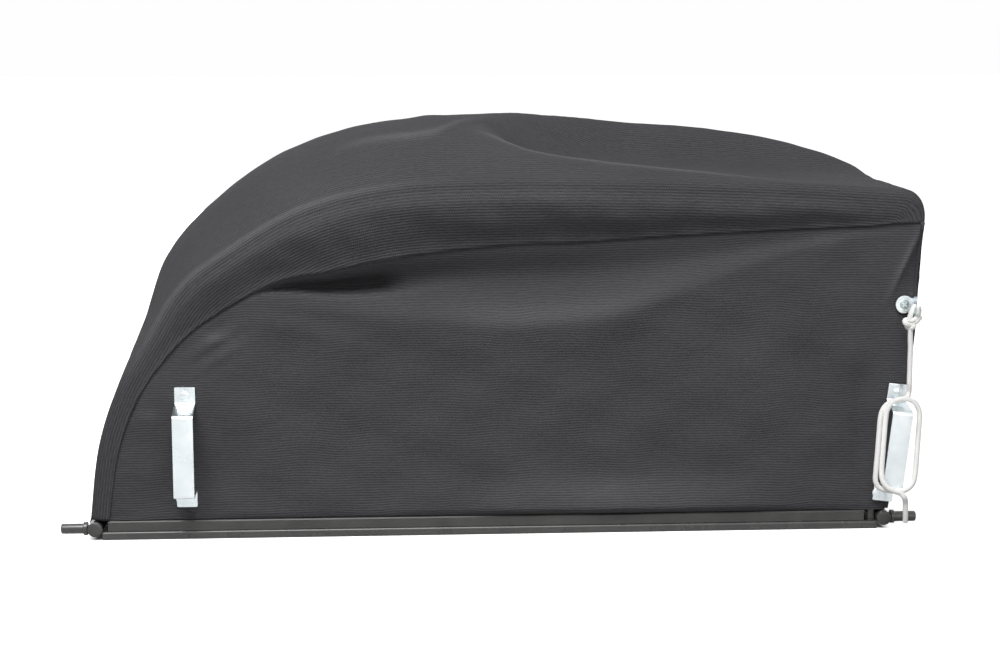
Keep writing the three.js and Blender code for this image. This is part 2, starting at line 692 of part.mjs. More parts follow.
const rightPostHeights = evenSteps(rightTangTop, rightPostTop, postSteps);
const rightTangLeft = endTubeX - rightTangGap;
const rightPost = plate([
  [rightTangLeft, postFoot], [rightTangLeft + rightTangWidth, postFoot], [rightTangLeft + rightTangWidth, rightTangTop],
  ...rightPostHeights.map((z) => [rightEdgeAt(z) - rightPostEdge, z]),
  ...rightPostHeights.map((z) => [rightEdgeAt(z) - rightPostEdge - rightPostWidth, z]).reverse(),
  [rightTangLeft, rightTangTop],
], postFront, postThickness);
const rightHoles = [...rightRivets, lugCentre];
addPiece('right_post', cutFrom(rightPost, ...rightHoles.map(([x, z]) => holeTool(x, z, rivetHoleRadius))), steel);

// Rivets, from the head on the sheet to a tail set flush in the post
function rivetGeometry([x, z], seat, sheetThickness) {
  const under = seat - fitGap - sheetThickness;
  const profile = [[0, under - rivetHeadHeight], [rivetHeadRadius * 0.55, under - rivetHeadHeight * 0.92],
    [rivetHeadRadius * 0.87, under - rivetHeadHeight * 0.6], [rivetHeadRadius, under - rivetHeadHeight * 0.15],
    [rivetHeadRadius, under], [rivetRadius, under], [rivetRadius, postBack], [0, postBack]];
  return turned(profile, 'y', rivetSides).translate(x, 0, z);
}
const rivets = [['left_tab_rivet', leftRivets[0], panelSeat], ['left_foot_rivet', leftRivets[1], panelSeat],
  ['right_tab_rivet', rightRivets[0], bandSeat], ['right_foot_rivet', rightRivets[1], bandSeat]];
rivets.forEach(([name, place, seat]) => addPiece(name, rivetGeometry(place, seat, loopSheet), zinc));
addPiece('lug_rivet', rivetGeometry(lugCentre, bandSeat, lugSheet), zinc);

// Cord lug: a round ear flat on the cloth, folded to a second ear with a hole that stands out
function lugGeometry() {
  const [x, z] = lugCentre;
  const back = bandSeat;
  const line = [[x, -lugSheet / 2], [x + lugEarOffset, -lugSheet / 2], [x + lugEarOffset, lugEarRadius - lugEarReach]];
  const neck = new THREE.ExtrudeGeometry(bentStrip(line, lugBend, lugSheet), { depth: lugNeckHeight, bevelEnabled: false });
  neck.translate(0, back, z - lugNeckHeight / 2);
  const flatEar = new THREE.CylinderGeometry(lugDiscRadius, lugDiscRadius, lugSheet, roundSides)
    .translate(x, back - lugSheet / 2, z);
  const earAt = [x + lugEarOffset, back + lugEarRadius - lugEarReach, z];
  const standingEar = new THREE.CylinderGeometry(lugEarRadius, lugEarRadius, lugSheet, roundSides)
    .rotateZ(Math.PI / 2).translate(...earAt);
  const eye = new THREE.CylinderGeometry(lugHoleRadius, lugHoleRadius, 3 * lugSheet, rivetSides)
    .rotateZ(Math.PI / 2).translate(...earAt);
  const joined = solidOf(neck).add(solidOf(flatEar)).add(solidOf(standingEar));
  return geometryOf(joined.subtract(solidOf(eye)).subtract(solidOf(holeTool(x, z, rivetHoleRadius))));
}
addPiece('cord_lug', lugGeometry(), zinc);

// Cloth: two side panels and the wrap that laps over them
const panelHeights = [0, 0.3, 0.55, 0.7, 0.78, 0.86, 0.93, 1];
const clothHoles = [...leftRivets, ...rightRivets, lugCentre].map(([x, z]) => holeTool(x, z, rivetHoleRadius));
const panelIndices = panelRows.map((unused, row) => row);
const nearPanel = sheet(panelIndices, panelHeights, (row, up) => panelPoint(row, up, false), clothThickness);
const farPanel = sheet(panelIndices, [0, 0.3, 0.65, 1], (row, down) => panelPoint(row, 1 - down, true), clothThickness);
addPiece('front_panel', cutFrom(nearPanel, ...clothHoles), cloth);
addPiece('rear_panel', farPanel, cloth);

const wrapRows = outlineRows([26, 11, 5, 5]);
const wrapColumns = [0, 1, 1.4, 1.7, ...evenSteps(2, 3, 12), 3.3, 3.6, 4, 5];
addPiece('wrap_panel', sheet(wrapRows, wrapColumns, wrapPoint, clothThickness), cloth);

// Pull cord: knot below the lug, a drop, a hank wound round the right loop and a short free end.
// Points are x, z and the distance in front of the near panel.
const cordPoint = ([x, z, reach]) => new THREE.Vector3(x, nearPlane - reach, z);
const knot = new THREE.SphereGeometry(0.5, ...knotSides).scale(knotWidth, knotDepth, knotHeight);
addPiece('cord_knot', knot.translate(knotCentre[0], nearPlane - knotCentre[2], knotCentre[1]), cordWhite);
addPiece('cord_drop', wire(new THREE.CatmullRomCurve3(dropPoints.map(cordPoint)), cordDiameter / 2, dropSteps), cordWhite);

const hankShape = roundedBox(hankWidth / 2, -hankHeight / 2, hankHeight / 2, hankCorner);
hankShape.holes.push(roundedBox(hankOpeningWidth / 2, -hankOpeningHeight / 2, hankOpeningHeight / 2, hankOpeningCorner));
const hank = new THREE.ExtrudeGeometry(hankShape, { depth: hankThickness, bevelEnabled: false,
  curveSegments: hankCornerSteps });
hank.translate(0, hankRise, -hankThickness / 2).rotateX(Math.PI / 2 - hankTilt).rotateY(rightLoopLean);
addPiece('cord_hank', hank.translate(rightLoopCentre[0], bandSeat - hankReach, rightLoopCentre[1]), cordWhite);
addPiece('cord_tail', wire(new THREE.CatmullRomCurve3(tailPoints.map(cordPoint)), cordDiameter / 2, tailSteps), cordWhite);

export default bag;
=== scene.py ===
"""Looks of a mower grass bag: cloth, coated steel, plastic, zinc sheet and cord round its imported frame.

Lengths are metres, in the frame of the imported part: +X along the bag towards its square end, +Y away
from the side with the folded loops, +Z up from the mouth.
"""

from __future__ import annotations

import logging
import math
from dataclasses import dataclass, field
from enum import Enum
from typing import Callable, Sequence

import bmesh
import bpy
import numpy as np
from mathutils import Matrix, Vector

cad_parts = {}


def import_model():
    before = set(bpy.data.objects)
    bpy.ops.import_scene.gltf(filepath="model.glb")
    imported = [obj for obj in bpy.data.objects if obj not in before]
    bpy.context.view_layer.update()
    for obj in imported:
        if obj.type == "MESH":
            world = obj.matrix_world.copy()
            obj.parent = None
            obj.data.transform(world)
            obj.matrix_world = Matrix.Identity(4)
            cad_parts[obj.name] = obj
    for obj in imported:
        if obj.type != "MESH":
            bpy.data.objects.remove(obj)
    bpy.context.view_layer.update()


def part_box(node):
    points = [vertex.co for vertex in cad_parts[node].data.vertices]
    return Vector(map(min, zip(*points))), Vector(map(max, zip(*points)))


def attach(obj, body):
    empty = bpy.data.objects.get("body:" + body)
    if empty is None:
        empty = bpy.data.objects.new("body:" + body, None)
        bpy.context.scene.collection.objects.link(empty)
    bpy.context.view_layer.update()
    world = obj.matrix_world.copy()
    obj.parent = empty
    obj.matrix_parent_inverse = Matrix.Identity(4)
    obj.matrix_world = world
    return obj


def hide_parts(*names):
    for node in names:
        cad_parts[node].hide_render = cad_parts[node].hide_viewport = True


LOG = logging.getLogger("grass_bag")
MM = 0.001
BODY = "root"

Point = Sequence[float]
Pair = tuple[float, float]
Colour = tuple[float, float, float]
Keys = Sequence[Pair]


class Slot(Enum):
    """Material slots of the record."""

    CLOTH = "bag_cloth"
    STEEL = "frame_steel"
    PLASTIC = "edge_plastic"
    ZINC = "zinc"
    CORD = "cord"


class Side(Enum):
    """Which long side of the bag a cloth panel closes."""

    NEAR = "near"
    FAR = "far"


def smoothstep(value: np.ndarray, low: float, high: float) -> np.ndarray:
    """A smooth step of value from 0 at low to 1 at high."""
    share = np.clip((value - low) / (high - low), 0.0, 1.0)
    return share * share * (3.0 - 2.0 * share)


def bump_at(value: np.ndarray, centre: float, half: float) -> np.ndarray:
    """A soft bump of height 1 at centre that ends at half on either side."""
    return np.maximum(0.0, 1.0 - ((value - centre) / half) ** 2) ** 2


def swell(value: np.ndarray, centre: np.ndarray | float, width: np.ndarray | float) -> np.ndarray:
    """A rise of height 1 at centre that dies away on either side."""
    return np.exp(-((value - centre) / width) ** 2)


def distances_along(line: np.ndarray) -> np.ndarray:
    """Distance of each point of a line from its start, along the line."""
    return np.concatenate([[0.0], np.cumsum(np.linalg.norm(np.diff(line, axis=0), axis=1))])


def centre_of(corners: tuple[Vector, Vector]) -> Vector:
    """Middle of a box."""
    return (corners[0] + corners[1]) / 2


class KeyedValue:
    """A smooth function through keys, whose slopes are limited so that it doesn't overshoot."""

    def __init__(self, keys: Keys, scale: float = 1.0) -> None:
        """Keeps the keys.

        Args:
            keys: Pairs of place and value, by rising place.
            scale: What every value is multiplied by.
        """
        self.places = np.array([place for place, _ in keys])
        self.values = scale * np.array([value for _, value in keys])

    def __call__(self, place: np.ndarray | float) -> np.ndarray:
        """The value at each place.

        Args:
            place: One place or an array of them.

        Returns:
            The values, in an array of the same shape.
        """
        place = np.asarray(place, float)
        x, y = self.places, self.values
        last = len(x) - 1
        i = np.searchsorted(x[1:-1], place, side="left")
        before, after = np.maximum(0, i - 1), np.minimum(last, i + 2)
        span = x[i + 1] - x[i]
        rise = y[i + 1] - y[i]
        steep = 3.0 * np.abs(rise / span)
        slope_in = (y[i + 1] - y[before]) / (x[i + 1] - x[before])
        slope_out = (y[after] - y[i]) / (x[after] - x[i])
        m0 = np.clip(slope_in, -steep, steep) * span
        m1 = np.clip(slope_out, -steep, steep) * span
        t = np.clip((place - x[i]) / span, 0.0, 1.0)
        t2, t3 = t * t, t * t * t
        start = y[i] * (2 * t3 - 3 * t2 + 1) + m0 * (t3 - 2 * t2 + t)
        return start + y[i + 1] * (3 * t2 - 2 * t3) + m1 * (t3 - t2)


def soft_noise(u: np.ndarray, v: np.ndarray, pitch: float, seed: int) -> np.ndarray:
    """Smooth noise between about -1 and 1, from a few crossing waves.

    Args:
        u: First coordinate of each point.
        v: Second coordinate of each point.
        pitch: Length of the longest wave.
        seed: Which pattern to give.

    Returns:
        The noise at each point.
    """
    draw = np.random.default_rng(seed)
    total = np.zeros_like(u)
    waves = 7
    for wave in range(waves):
        angle = draw.uniform(0.0, 2.0 * math.pi)
        length = pitch / (1.0 + 0.35 * wave)
        phase = draw.uniform(0.0, 2.0 * math.pi)
        along = (u * math.cos(angle) + v * math.sin(angle)) / length
        total += np.sin(2.0 * math.pi * along + phase)
    return total / math.sqrt(2.0 * waves)


class Bench:
    """Modelling steps that several pieces share."""

    tiny = 1e-6

    @staticmethod
    def clear() -> None:
        """Leaves edit mode and deselects everything."""
        if bpy.context.object is not None and bpy.context.object.mode != "OBJECT":
            bpy.ops.object.mode_set(mode="OBJECT")
        bpy.ops.object.select_all(action="DESELECT")

    @staticmethod
    def activate(piece: bpy.types.Object) -> None:
        """Makes piece the only selected object."""
        Bench.clear()
        piece.select_set(True)
        bpy.context.view_layer.objects.active = piece

    @staticmethod
    def select(piece: bpy.types.Object, kind: str,
               test: Callable[[bmesh.types.BMEdge | bmesh.types.BMVert], bool]) -> None:
        """Selects in edit mode the edges or the vertices that pass a test.

        Args:
            piece: The object in edit mode.
            kind: EDGE or VERT.
            test: Says of an edge or a vertex whether it is selected.
        """
        bpy.ops.mesh.select_mode(type=kind)
        bpy.ops.mesh.select_all(action="DESELECT")
        shape = bmesh.from_edit_mesh(piece.data)
        for part in shape.edges if kind == "EDGE" else shape.verts:
            part.select_set(bool(test(part)))
        shape.select_flush_mode()
        bmesh.update_edit_mesh(piece.data)

    @staticmethod
    def modify(piece: bpy.types.Object, kind: str, **settings: object) -> None:
        """Adds a modifier and applies it.

        Args:
            piece: What is modified.
            kind: Blender's name of the modifier's type.
            **settings: Values of the modifier's properties.
        """
        Bench.activate(piece)
        modifier = piece.modifiers.new(kind.title(), kind)
        for name, value in settings.items():
            setattr(modifier, name, value)
        bpy.ops.object.modifier_apply(modifier=modifier.name)

    @staticmethod
    def soften(piece: bpy.types.Object, width: float, segments: int = 2, degrees: float = 35.0) -> None:
        """Rounds the sharp edges and shades the rest smooth.

        Args:
            piece: What is rounded.
            width: Width of the rounding.
            segments: Faces across the rounding.
            degrees: Edges sharper than this are rounded.
        """
        Bench.modify(piece, "BEVEL", width=width, segments=segments, limit_method="ANGLE",
                     angle_limit=math.radians(degrees), use_clamp_overlap=True)
        Bench.shade(piece, degrees)

    @staticmethod
    def shade(piece: bpy.types.Object, degrees: float) -> None:
        """Shades a piece smooth, apart from edges sharper than an angle."""
        Bench.activate(piece)
        bpy.ops.object.shade_smooth_by_angle(angle=math.radians(degrees))

    @staticmethod
    def orient(piece: bpy.types.Object) -> None:
        """Merges doubles and turns all faces outwards."""
        Bench.activate(piece)
        bpy.ops.object.mode_set(mode="EDIT")
        bpy.ops.mesh.select_all(action="SELECT")
        bpy.ops.mesh.remove_doubles(threshold=Bench.tiny)
        bpy.ops.mesh.normals_make_consistent(inside=False)
        bpy.ops.object.mode_set(mode="OBJECT")

    @staticmethod
    def turned(name: str, profile: Sequence[Pair], place: Matrix, sides: int = 48) -> bpy.types.Object:
        """A turned solid, extruded ring by ring along its axis.

        Args:
            name: The piece's name.
            profile: Radius and position of each ring, by rising position.
            place: Where the axis (local Z) lies.
            sides: Faces round it.

        Returns:
            The new object.
        """
        Bench.clear()
        radius, position = profile[0]
        bpy.ops.mesh.primitive_circle_add(vertices=sides, radius=radius, fill_type="NGON")
        piece = bpy.context.object
        piece.name = name
        bpy.ops.object.mode_set(mode="EDIT")
        bpy.ops.mesh.select_all(action="SELECT")
        bpy.ops.transform.translate(value=(0.0, 0.0, position))
        for next_radius, next_position in profile[1:]:
            rise = (0.0, 0.0, next_position - position)
            bpy.ops.mesh.extrude_region_move(TRANSFORM_OT_translate={"value": rise})
            ratio = next_radius / radius
            bpy.ops.transform.resize(value=(ratio, ratio, 1.0), center_override=(0.0, 0.0, next_position))
            radius, position = next_radius, next_position
        bpy.ops.object.mode_set(mode="OBJECT")
        piece.data.transform(place)
        Bench.orient(piece)
        return piece

    @staticmethod
    def folded_strip(name: str, corners: Sequence[Pair], width: float, thickness: float,
                     bend: float, corner_radius: float, place: Matrix) -> bpy.types.Object:
        """A strip of sheet, drawn out corner by corner along its middle line and then bent round.

        Args:
            name: The piece's name.
            corners: Height (local Y) and reach (local Z) of each corner of the middle line.
            width: Width of the strip along local X.
            thickness: Thickness of the sheet.
            bend: Inner radius of the bends.
            corner_radius: Radius of the strip's four free corners.
            place: Where the local frame lies.

        Returns:
            The new object.
        """
        Bench.clear()
        start, second = corners[0], corners[1]
        bpy.ops.mesh.primitive_plane_add(size=1.0)
        piece = bpy.context.object
        piece.name = name
        bpy.ops.object.mode_set(mode="EDIT")
        bpy.ops.mesh.select_all(action="SELECT")
        first_length = abs(second[0] - start[0])
        bpy.ops.transform.resize(value=(width, first_length, 1.0), center_override=(0.0, 0.0, 0.0))
        bpy.ops.transform.translate(value=(0.0, (start[0] + second[0]) / 2, start[1]))

        def lies_at(vertex: bmesh.types.BMVert, corner: Pair) -> bool:
            """Whether a vertex lies at a corner of the middle line."""
            place = vertex.co
            return abs(place.y - corner[0]) < Bench.tiny and abs(place.z - corner[1]) < Bench.tiny

        for here, there in zip(corners[1:-1], corners[2:]):
            Bench.select(piece, "EDGE", lambda edge: all(lies_at(v, here) for v in edge.verts))
            step = (0.0, there[0] - here[0], there[1] - here[1])
            bpy.ops.mesh.extrude_region_move(TRANSFORM_OT_translate={"value": step})
        Bench.select(piece, "VERT", lambda vertex: any(lies_at(vertex, end) for end in (start, corners[-1])))
        bpy.ops.mesh.bevel(offset=corner_radius, segments=5, affect="VERTICES")
        Bench.select(piece, "EDGE", lambda edge: any(
            all(lies_at(v, bend_at) for v in edge.verts) for bend_at in corners[1:-1]))
        bpy.ops.mesh.bevel(offset=bend, offset_type="WIDTH", segments=8, affect="EDGES")
        bpy.ops.object.mode_set(mode="OBJECT")
        Bench.orient(piece)
        Bench.modify(piece, "SOLIDIFY", thickness=thickness, offset=0.0, use_even_offset=True)
        piece.data.transform(place)
        Bench.orient(piece)
        return piece

    @staticmethod
    def cut(piece: bpy.types.Object, tool: bpy.types.Object, operation: str = "DIFFERENCE") -> None:
        """Cuts a tool out of a piece, or joins it on, and removes the tool.

        Args:
            piece: What stays.
            tool: What is cut out or joined on.
            operation: DIFFERENCE or UNION.
        """
        Bench.modify(piece, "BOOLEAN", object=tool, operation=operation, solver="EXACT")
        bpy.data.objects.remove(tool, do_unlink=True)

    @staticmethod
    def from_grid(name: str, points: np.ndarray, pattern: np.ndarray, highlight_mask: np.ndarray) -> bpy.types.Object:
        """A sheet mesh through a grid of points, with a UV map in metres and one of its painted highlights.

        Args:
            name: The piece's name.
            points: Grid of points, rows by columns by 3, whose faces point outwards.
            pattern: Grid of UV values, rows by columns by 2.
            highlight_mask: Grid of how strongly each point is painted with a highlight, 0 to 1.

        Returns:
            The new object.
        """
        rows, columns, _ = points.shape
        index = np.arange(rows * columns).reshape(rows, columns)
        quads = (index[:-1, :-1], index[1:, :-1], index[1:, 1:], index[:-1, 1:])
        faces = np.stack(quads, axis=-1).reshape(-1, 4).tolist()
        layers = {"Weave": pattern, "PaintedHighlight": np.stack([highlight_mask, highlight_mask], axis=-1)}
        return Bench.from_faces(name, points, faces, layers)

    @staticmethod
    def from_faces(name: str, points: np.ndarray, faces: list[list[int]],
                   layers: dict[str, np.ndarray]) -> bpy.types.Object:
        """A mesh from points and faces, with UV maps.

        Args:
            name: The piece's name.
            points: Array or grid of points.
            faces: Point numbers of each face.
            layers: UV values of the points, by the map's name.

        Returns:
            The new object.
        """
        mesh = bpy.data.meshes.new(name)
        mesh.from_pydata(points.reshape(-1, 3).tolist(), [], faces)
        corners = np.zeros(len(mesh.loops), np.int32)
        mesh.loops.foreach_get("vertex_index", corners)
        for label, values in layers.items():
            layer = mesh.uv_layers.new(name=label)
            layer.data.foreach_set("uv", values.reshape(-1, 2)[corners].astype(np.float32).ravel())
        mesh.update()
        piece = bpy.data.objects.new(name, mesh)
        bpy.context.scene.collection.objects.link(piece)
        return piece

    @staticmethod
    def dress(piece: bpy.types.Object, finish: bpy.types.Material, slot: Slot, *nodes: str) -> None:
        """Gives a new piece its finish and its body, and hides the nodes that it stands for.

        Args:
            piece: The finished piece.
            finish: Its material.
            slot: Not used.
            *nodes: CAD nodes that it replaces.
        """
        piece.data.materials.clear()
        piece.data.materials.append(finish)
        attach(piece, BODY)
        if nodes:
            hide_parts(*nodes)
        LOG.info("%s: %d faces", piece.name, len(piece.data.polygons))


class Nodes:
    """A material's or group's node tree, with short ways to add and link nodes."""

    def __init__(self, tree: bpy.types.NodeTree) -> None:
        """Keeps the tree that nodes are added to."""
        self.tree = tree

    def add(self, kind: str, **settings: object) -> bpy.types.Node:
        """Adds a node and sets its properties.

        Args:
            kind: The node's type, without the ShaderNode in front.
            **settings: Values of its properties.

        Returns:
            The new node.
        """
        node = self.tree.nodes.new("ShaderNode" + kind)
        for name, value in settings.items():
            setattr(node, name, value)
        return node

    def put(self, value: object, socket: bpy.types.NodeSocket) -> None:
        """Links a socket, or sets a plain value, on an input socket."""
        if isinstance(value, bpy.types.NodeSocket):
            self.tree.links.new(value, socket)
        else:
            socket.default_value = value

    @staticmethod
    def fill(node: bpy.types.Node, **values: object) -> None:
        """Sets plain values of a node's inputs; an underscore stands for a space of the input's name."""
        for label, value in values.items():
            node.inputs[label.replace("_", " ")].default_value = value

    def math(self, operation: str, *inputs: object, clamp: bool = False) -> bpy.types.NodeSocket:
        """A math node over sockets and numbers, and its output."""
        node = self.add("Math", operation=operation, use_clamp=clamp)
        for position, value in enumerate(inputs):
            self.put(value, node.inputs[position])
        return node.outputs[0]

    def mix(self, factor: object, first: object, second: object) -> bpy.types.NodeSocket:
        """A colour mix, and its output."""
        node = self.add("Mix", data_type="RGBA")
        self.put(factor, node.inputs["Factor"])
        self.put(first, node.inputs[6])
        self.put(second, node.inputs[7])
        return node.outputs[2]

    def noise(self, vector: object, scale: float, detail: float = 2.0,
              roughness: float = 0.5) -> bpy.types.NodeSocket:
        """A noise texture's value."""
        node = self.add("TexNoise")
        self.put(vector, node.inputs["Vector"])
        self.fill(node, Scale=scale, Detail=detail, Roughness=roughness)
        return node.outputs["Fac"]

    def stretch(self, vector: object, scale: Point) -> bpy.types.NodeSocket:
        """A vector multiplied along each axis."""
        node = self.add("Mapping")
        self.put(vector, node.inputs["Vector"])
        self.fill(node, Scale=scale)
        return node.outputs["Vector"]

    def ranged(self, value: object, low: float, high: float, to_low: float,
               to_high: float) -> bpy.types.NodeSocket:
        """A value mapped from one range to another, and kept in it."""
        node = self.add("MapRange")
        self.put(value, node.inputs["Value"])
        self.fill(node, From_Min=low, From_Max=high, To_Min=to_low, To_Max=to_high)
        return node.outputs["Result"]

    def wave(self, turns: object) -> bpy.types.NodeSocket:
        """A sine wave between 0 and 1 over a number of turns."""
        angle = self.math("MULTIPLY", turns, 2.0 * math.pi)
        return self.math("MULTIPLY_ADD", self.math("SINE", angle), 0.5, 0.5)

    def bump(self, shader: bpy.types.Node, height: object, strength: float, distance: float) -> None:
        """Bumps a shader's surface by a height."""
        node = self.add("Bump")
        self.fill(node, Strength=strength, Distance=distance)
        self.put(height, node.inputs["Height"])
        self.put(node.outputs["Normal"], shader.inputs["Normal"])

    def seen_rays(self, path: bpy.types.Node) -> bpy.types.NodeSocket:
        """1 for the camera's rays and for what they mirror or look through, else 0."""
        seen = self.math("ADD", path.outputs["Is Camera Ray"], path.outputs["Is Glossy Ray"])
        return self.math("ADD", seen, path.outputs["Is Transmission Ray"], clamp=True)


class Effects:
    """Shader groups that several finishes share, each built once."""

    def __init__(self) -> None:
        """Builds the groups."""
        self.ribbing = self._ribbing()
        self.grain = self._grain()
        self.lint = self._lint()

    @staticmethod
    def _group(name: str, inputs: dict[str, tuple[str, float]], outputs: dict[str, str]) -> tuple[
            bpy.types.NodeTree, Nodes, bpy.types.Node, bpy.types.Node]:
        """A new group with named sockets.

        Args:
            name: The group's name.
            inputs: Socket type and starting value of each input; a vector's value isn't used.
            outputs: Socket type of each output.

        Returns:
            The group, its nodes, its input node and its output node.
        """
        group = bpy.data.node_groups.new(name, "ShaderNodeTree")
        for label, (kind, value) in inputs.items():
            socket = group.interface.new_socket(name=label, in_out="INPUT", socket_type="NodeSocket" + kind)
            if kind == "Float":
                socket.default_value = value
        for label, kind in outputs.items():
            group.interface.new_socket(name=label, in_out="OUTPUT", socket_type="NodeSocket" + kind)
        nodes = Nodes(group)
        start = group.nodes.new("NodeGroupInput")
        end = group.nodes.new("NodeGroupOutput")
        return group, nodes, start, end

    def _ribbing(self) -> bpy.types.NodeTree:
        """Ribs of a knitted or woven cloth along U, from a UV map in metres."""
        group, nodes, start, end = self._group(
            "ribbing",
            {"Weave": ("Vector", 0.0), "Pitch": ("Float", 0.0019), "Stitch": ("Float", 0.0024),
             "Waver": ("Float", 0.25), "Speckle": ("Float", 0.3)},
            {"Height": "Float", "Rib": "Float", "Yarn": "Float"})
        split = nodes.add("SeparateXYZ")
        nodes.put(start.outputs["Weave"], split.inputs[0])
        sway = nodes.math("SUBTRACT", nodes.noise(start.outputs["Weave"], 45.0), 0.5)
        waver = nodes.math("MULTIPLY", sway, start.outputs["Waver"])
        rows = nodes.math("ADD", nodes.math("DIVIDE", split.outputs["Y"], start.outputs["Pitch"]), waver)
        rib = nodes.wave(rows)
        parity = nodes.math("MULTIPLY", nodes.math("FLOOR", rows), 0.5)
        loops = nodes.math("ADD", nodes.math("DIVIDE", split.outputs["X"], start.outputs["Stitch"]), parity)
        stitch = nodes.wave(loops)
        yarn, broken = (nodes.noise(nodes.stretch(start.outputs["Weave"], (*drawn, 1.0)), 1.0, 3.0, 0.6)
                        for drawn in ((170.0, 560.0), (110.0, 330.0)))
        fuzz = nodes.math("MULTIPLY", stitch, nodes.math("MULTIPLY", rib, 0.35))
        height = nodes.math("ADD", nodes.math("ADD", rib, fuzz), nodes.math("MULTIPLY", yarn, 0.6))
        strength = nodes.ranged(broken, 0.38, 0.62, 0.05, 1.0)
        speckle = nodes.math("MULTIPLY", nodes.math("SUBTRACT", stitch, 0.5), start.outputs["Speckle"])
        dotted = nodes.math("MULTIPLY_ADD", speckle, strength, 0.5)
        # Rib: 1 on the rib tops and 0 in the grooves, the mask that the cloth's painted rib shade and
        # highlight follow
        shown = nodes.math("MULTIPLY_ADD", nodes.math("SUBTRACT", rib, 0.5), strength, dotted, clamp=True)
        nodes.put(height, end.inputs["Height"])
        nodes.put(shown, end.inputs["Rib"])
        nodes.put(yarn, end.inputs["Yarn"])
        return group

    def _grain(self) -> bpy.types.NodeTree:
        """Fine grain of a hard surface, with drawn scratches along one axis."""
        group, nodes, start, end = self._group(
            "fine_grain", {"Place": ("Vector", 0.0), "Grain": ("Float", 900.0), "Drawn": ("Float", 0.0)},
            {"Height": "Float", "Mottle": "Float"})
        spots = nodes.add("TexNoise")
        nodes.put(start.outputs["Place"], spots.inputs["Vector"])
        nodes.put(start.outputs["Grain"], spots.inputs["Scale"])
        lines = nodes.noise(nodes.stretch(start.outputs["Place"], (2600.0, 2600.0, 60.0)), 1.0, 2.0)
        height = nodes.add("Mix", data_type="FLOAT")
        nodes.put(start.outputs["Drawn"], height.inputs["Factor"])
        nodes.put(spots.outputs["Fac"], height.inputs[2])
        nodes.put(lines, height.inputs[3])
        mottle = nodes.noise(start.outputs["Place"], 38.0, 3.0, 0.55)
        nodes.put(height.outputs[0], end.inputs["Height"])
        nodes.put(mottle, end.inputs["Mottle"])
        return group

    def _lint(self) -> bpy.types.NodeTree:
        """Sparse pale specks of lint and dust."""
        group, nodes, start, end = self._group(
            "lint", {"Place": ("Vector", 0.0), "Spacing": ("Float", 0.02), "Size": ("Float", 0.03)},
            {"Specks": "Float"})
        cells = nodes.add("TexVoronoi", feature="F1")
        nodes.put(start.outputs["Place"], cells.inputs["Vector"])
        nodes.put(nodes.math("DIVIDE", 1.0, start.outputs["Spacing"]), cells.inputs["Scale"])
        near = nodes.math("LESS_THAN", cells.outputs["Distance"], start.outputs["Size"])
        tint = nodes.add("SeparateColor")
        nodes.put(cells.outputs["Color"], tint.inputs[0])
        some = nodes.math("GREATER_THAN", tint.outputs[0], 0.62)
        nodes.put(nodes.math("MULTIPLY", near, some), end.inputs["Specks"])
        return group


def new_material(name: str) -> tuple[bpy.types.Material, Nodes, bpy.types.Node]:
    """A material with an empty Principled BSDF.

    Args:
        name: The material's name.

    Returns:
        The material, its nodes and the shader node.
    """
    material = bpy.data.materials.new(name)
    material.use_nodes = True
    nodes = Nodes(material.node_tree)
    return material, nodes, material.node_tree.nodes["Principled BSDF"]


def place_group(nodes: Nodes, group: bpy.types.NodeTree, **values: object) -> bpy.types.Node:
    """Puts a shader group in a tree.

    Args:
        nodes: The tree's nodes.
        group: The group.
        **values: Values or sockets for its inputs.

    Returns:
        The group's node.
    """
    node = nodes.tree.nodes.new("ShaderNodeGroup")
    node.node_tree = group
    for label, value in values.items():
        nodes.put(value, node.inputs[label])
    return node


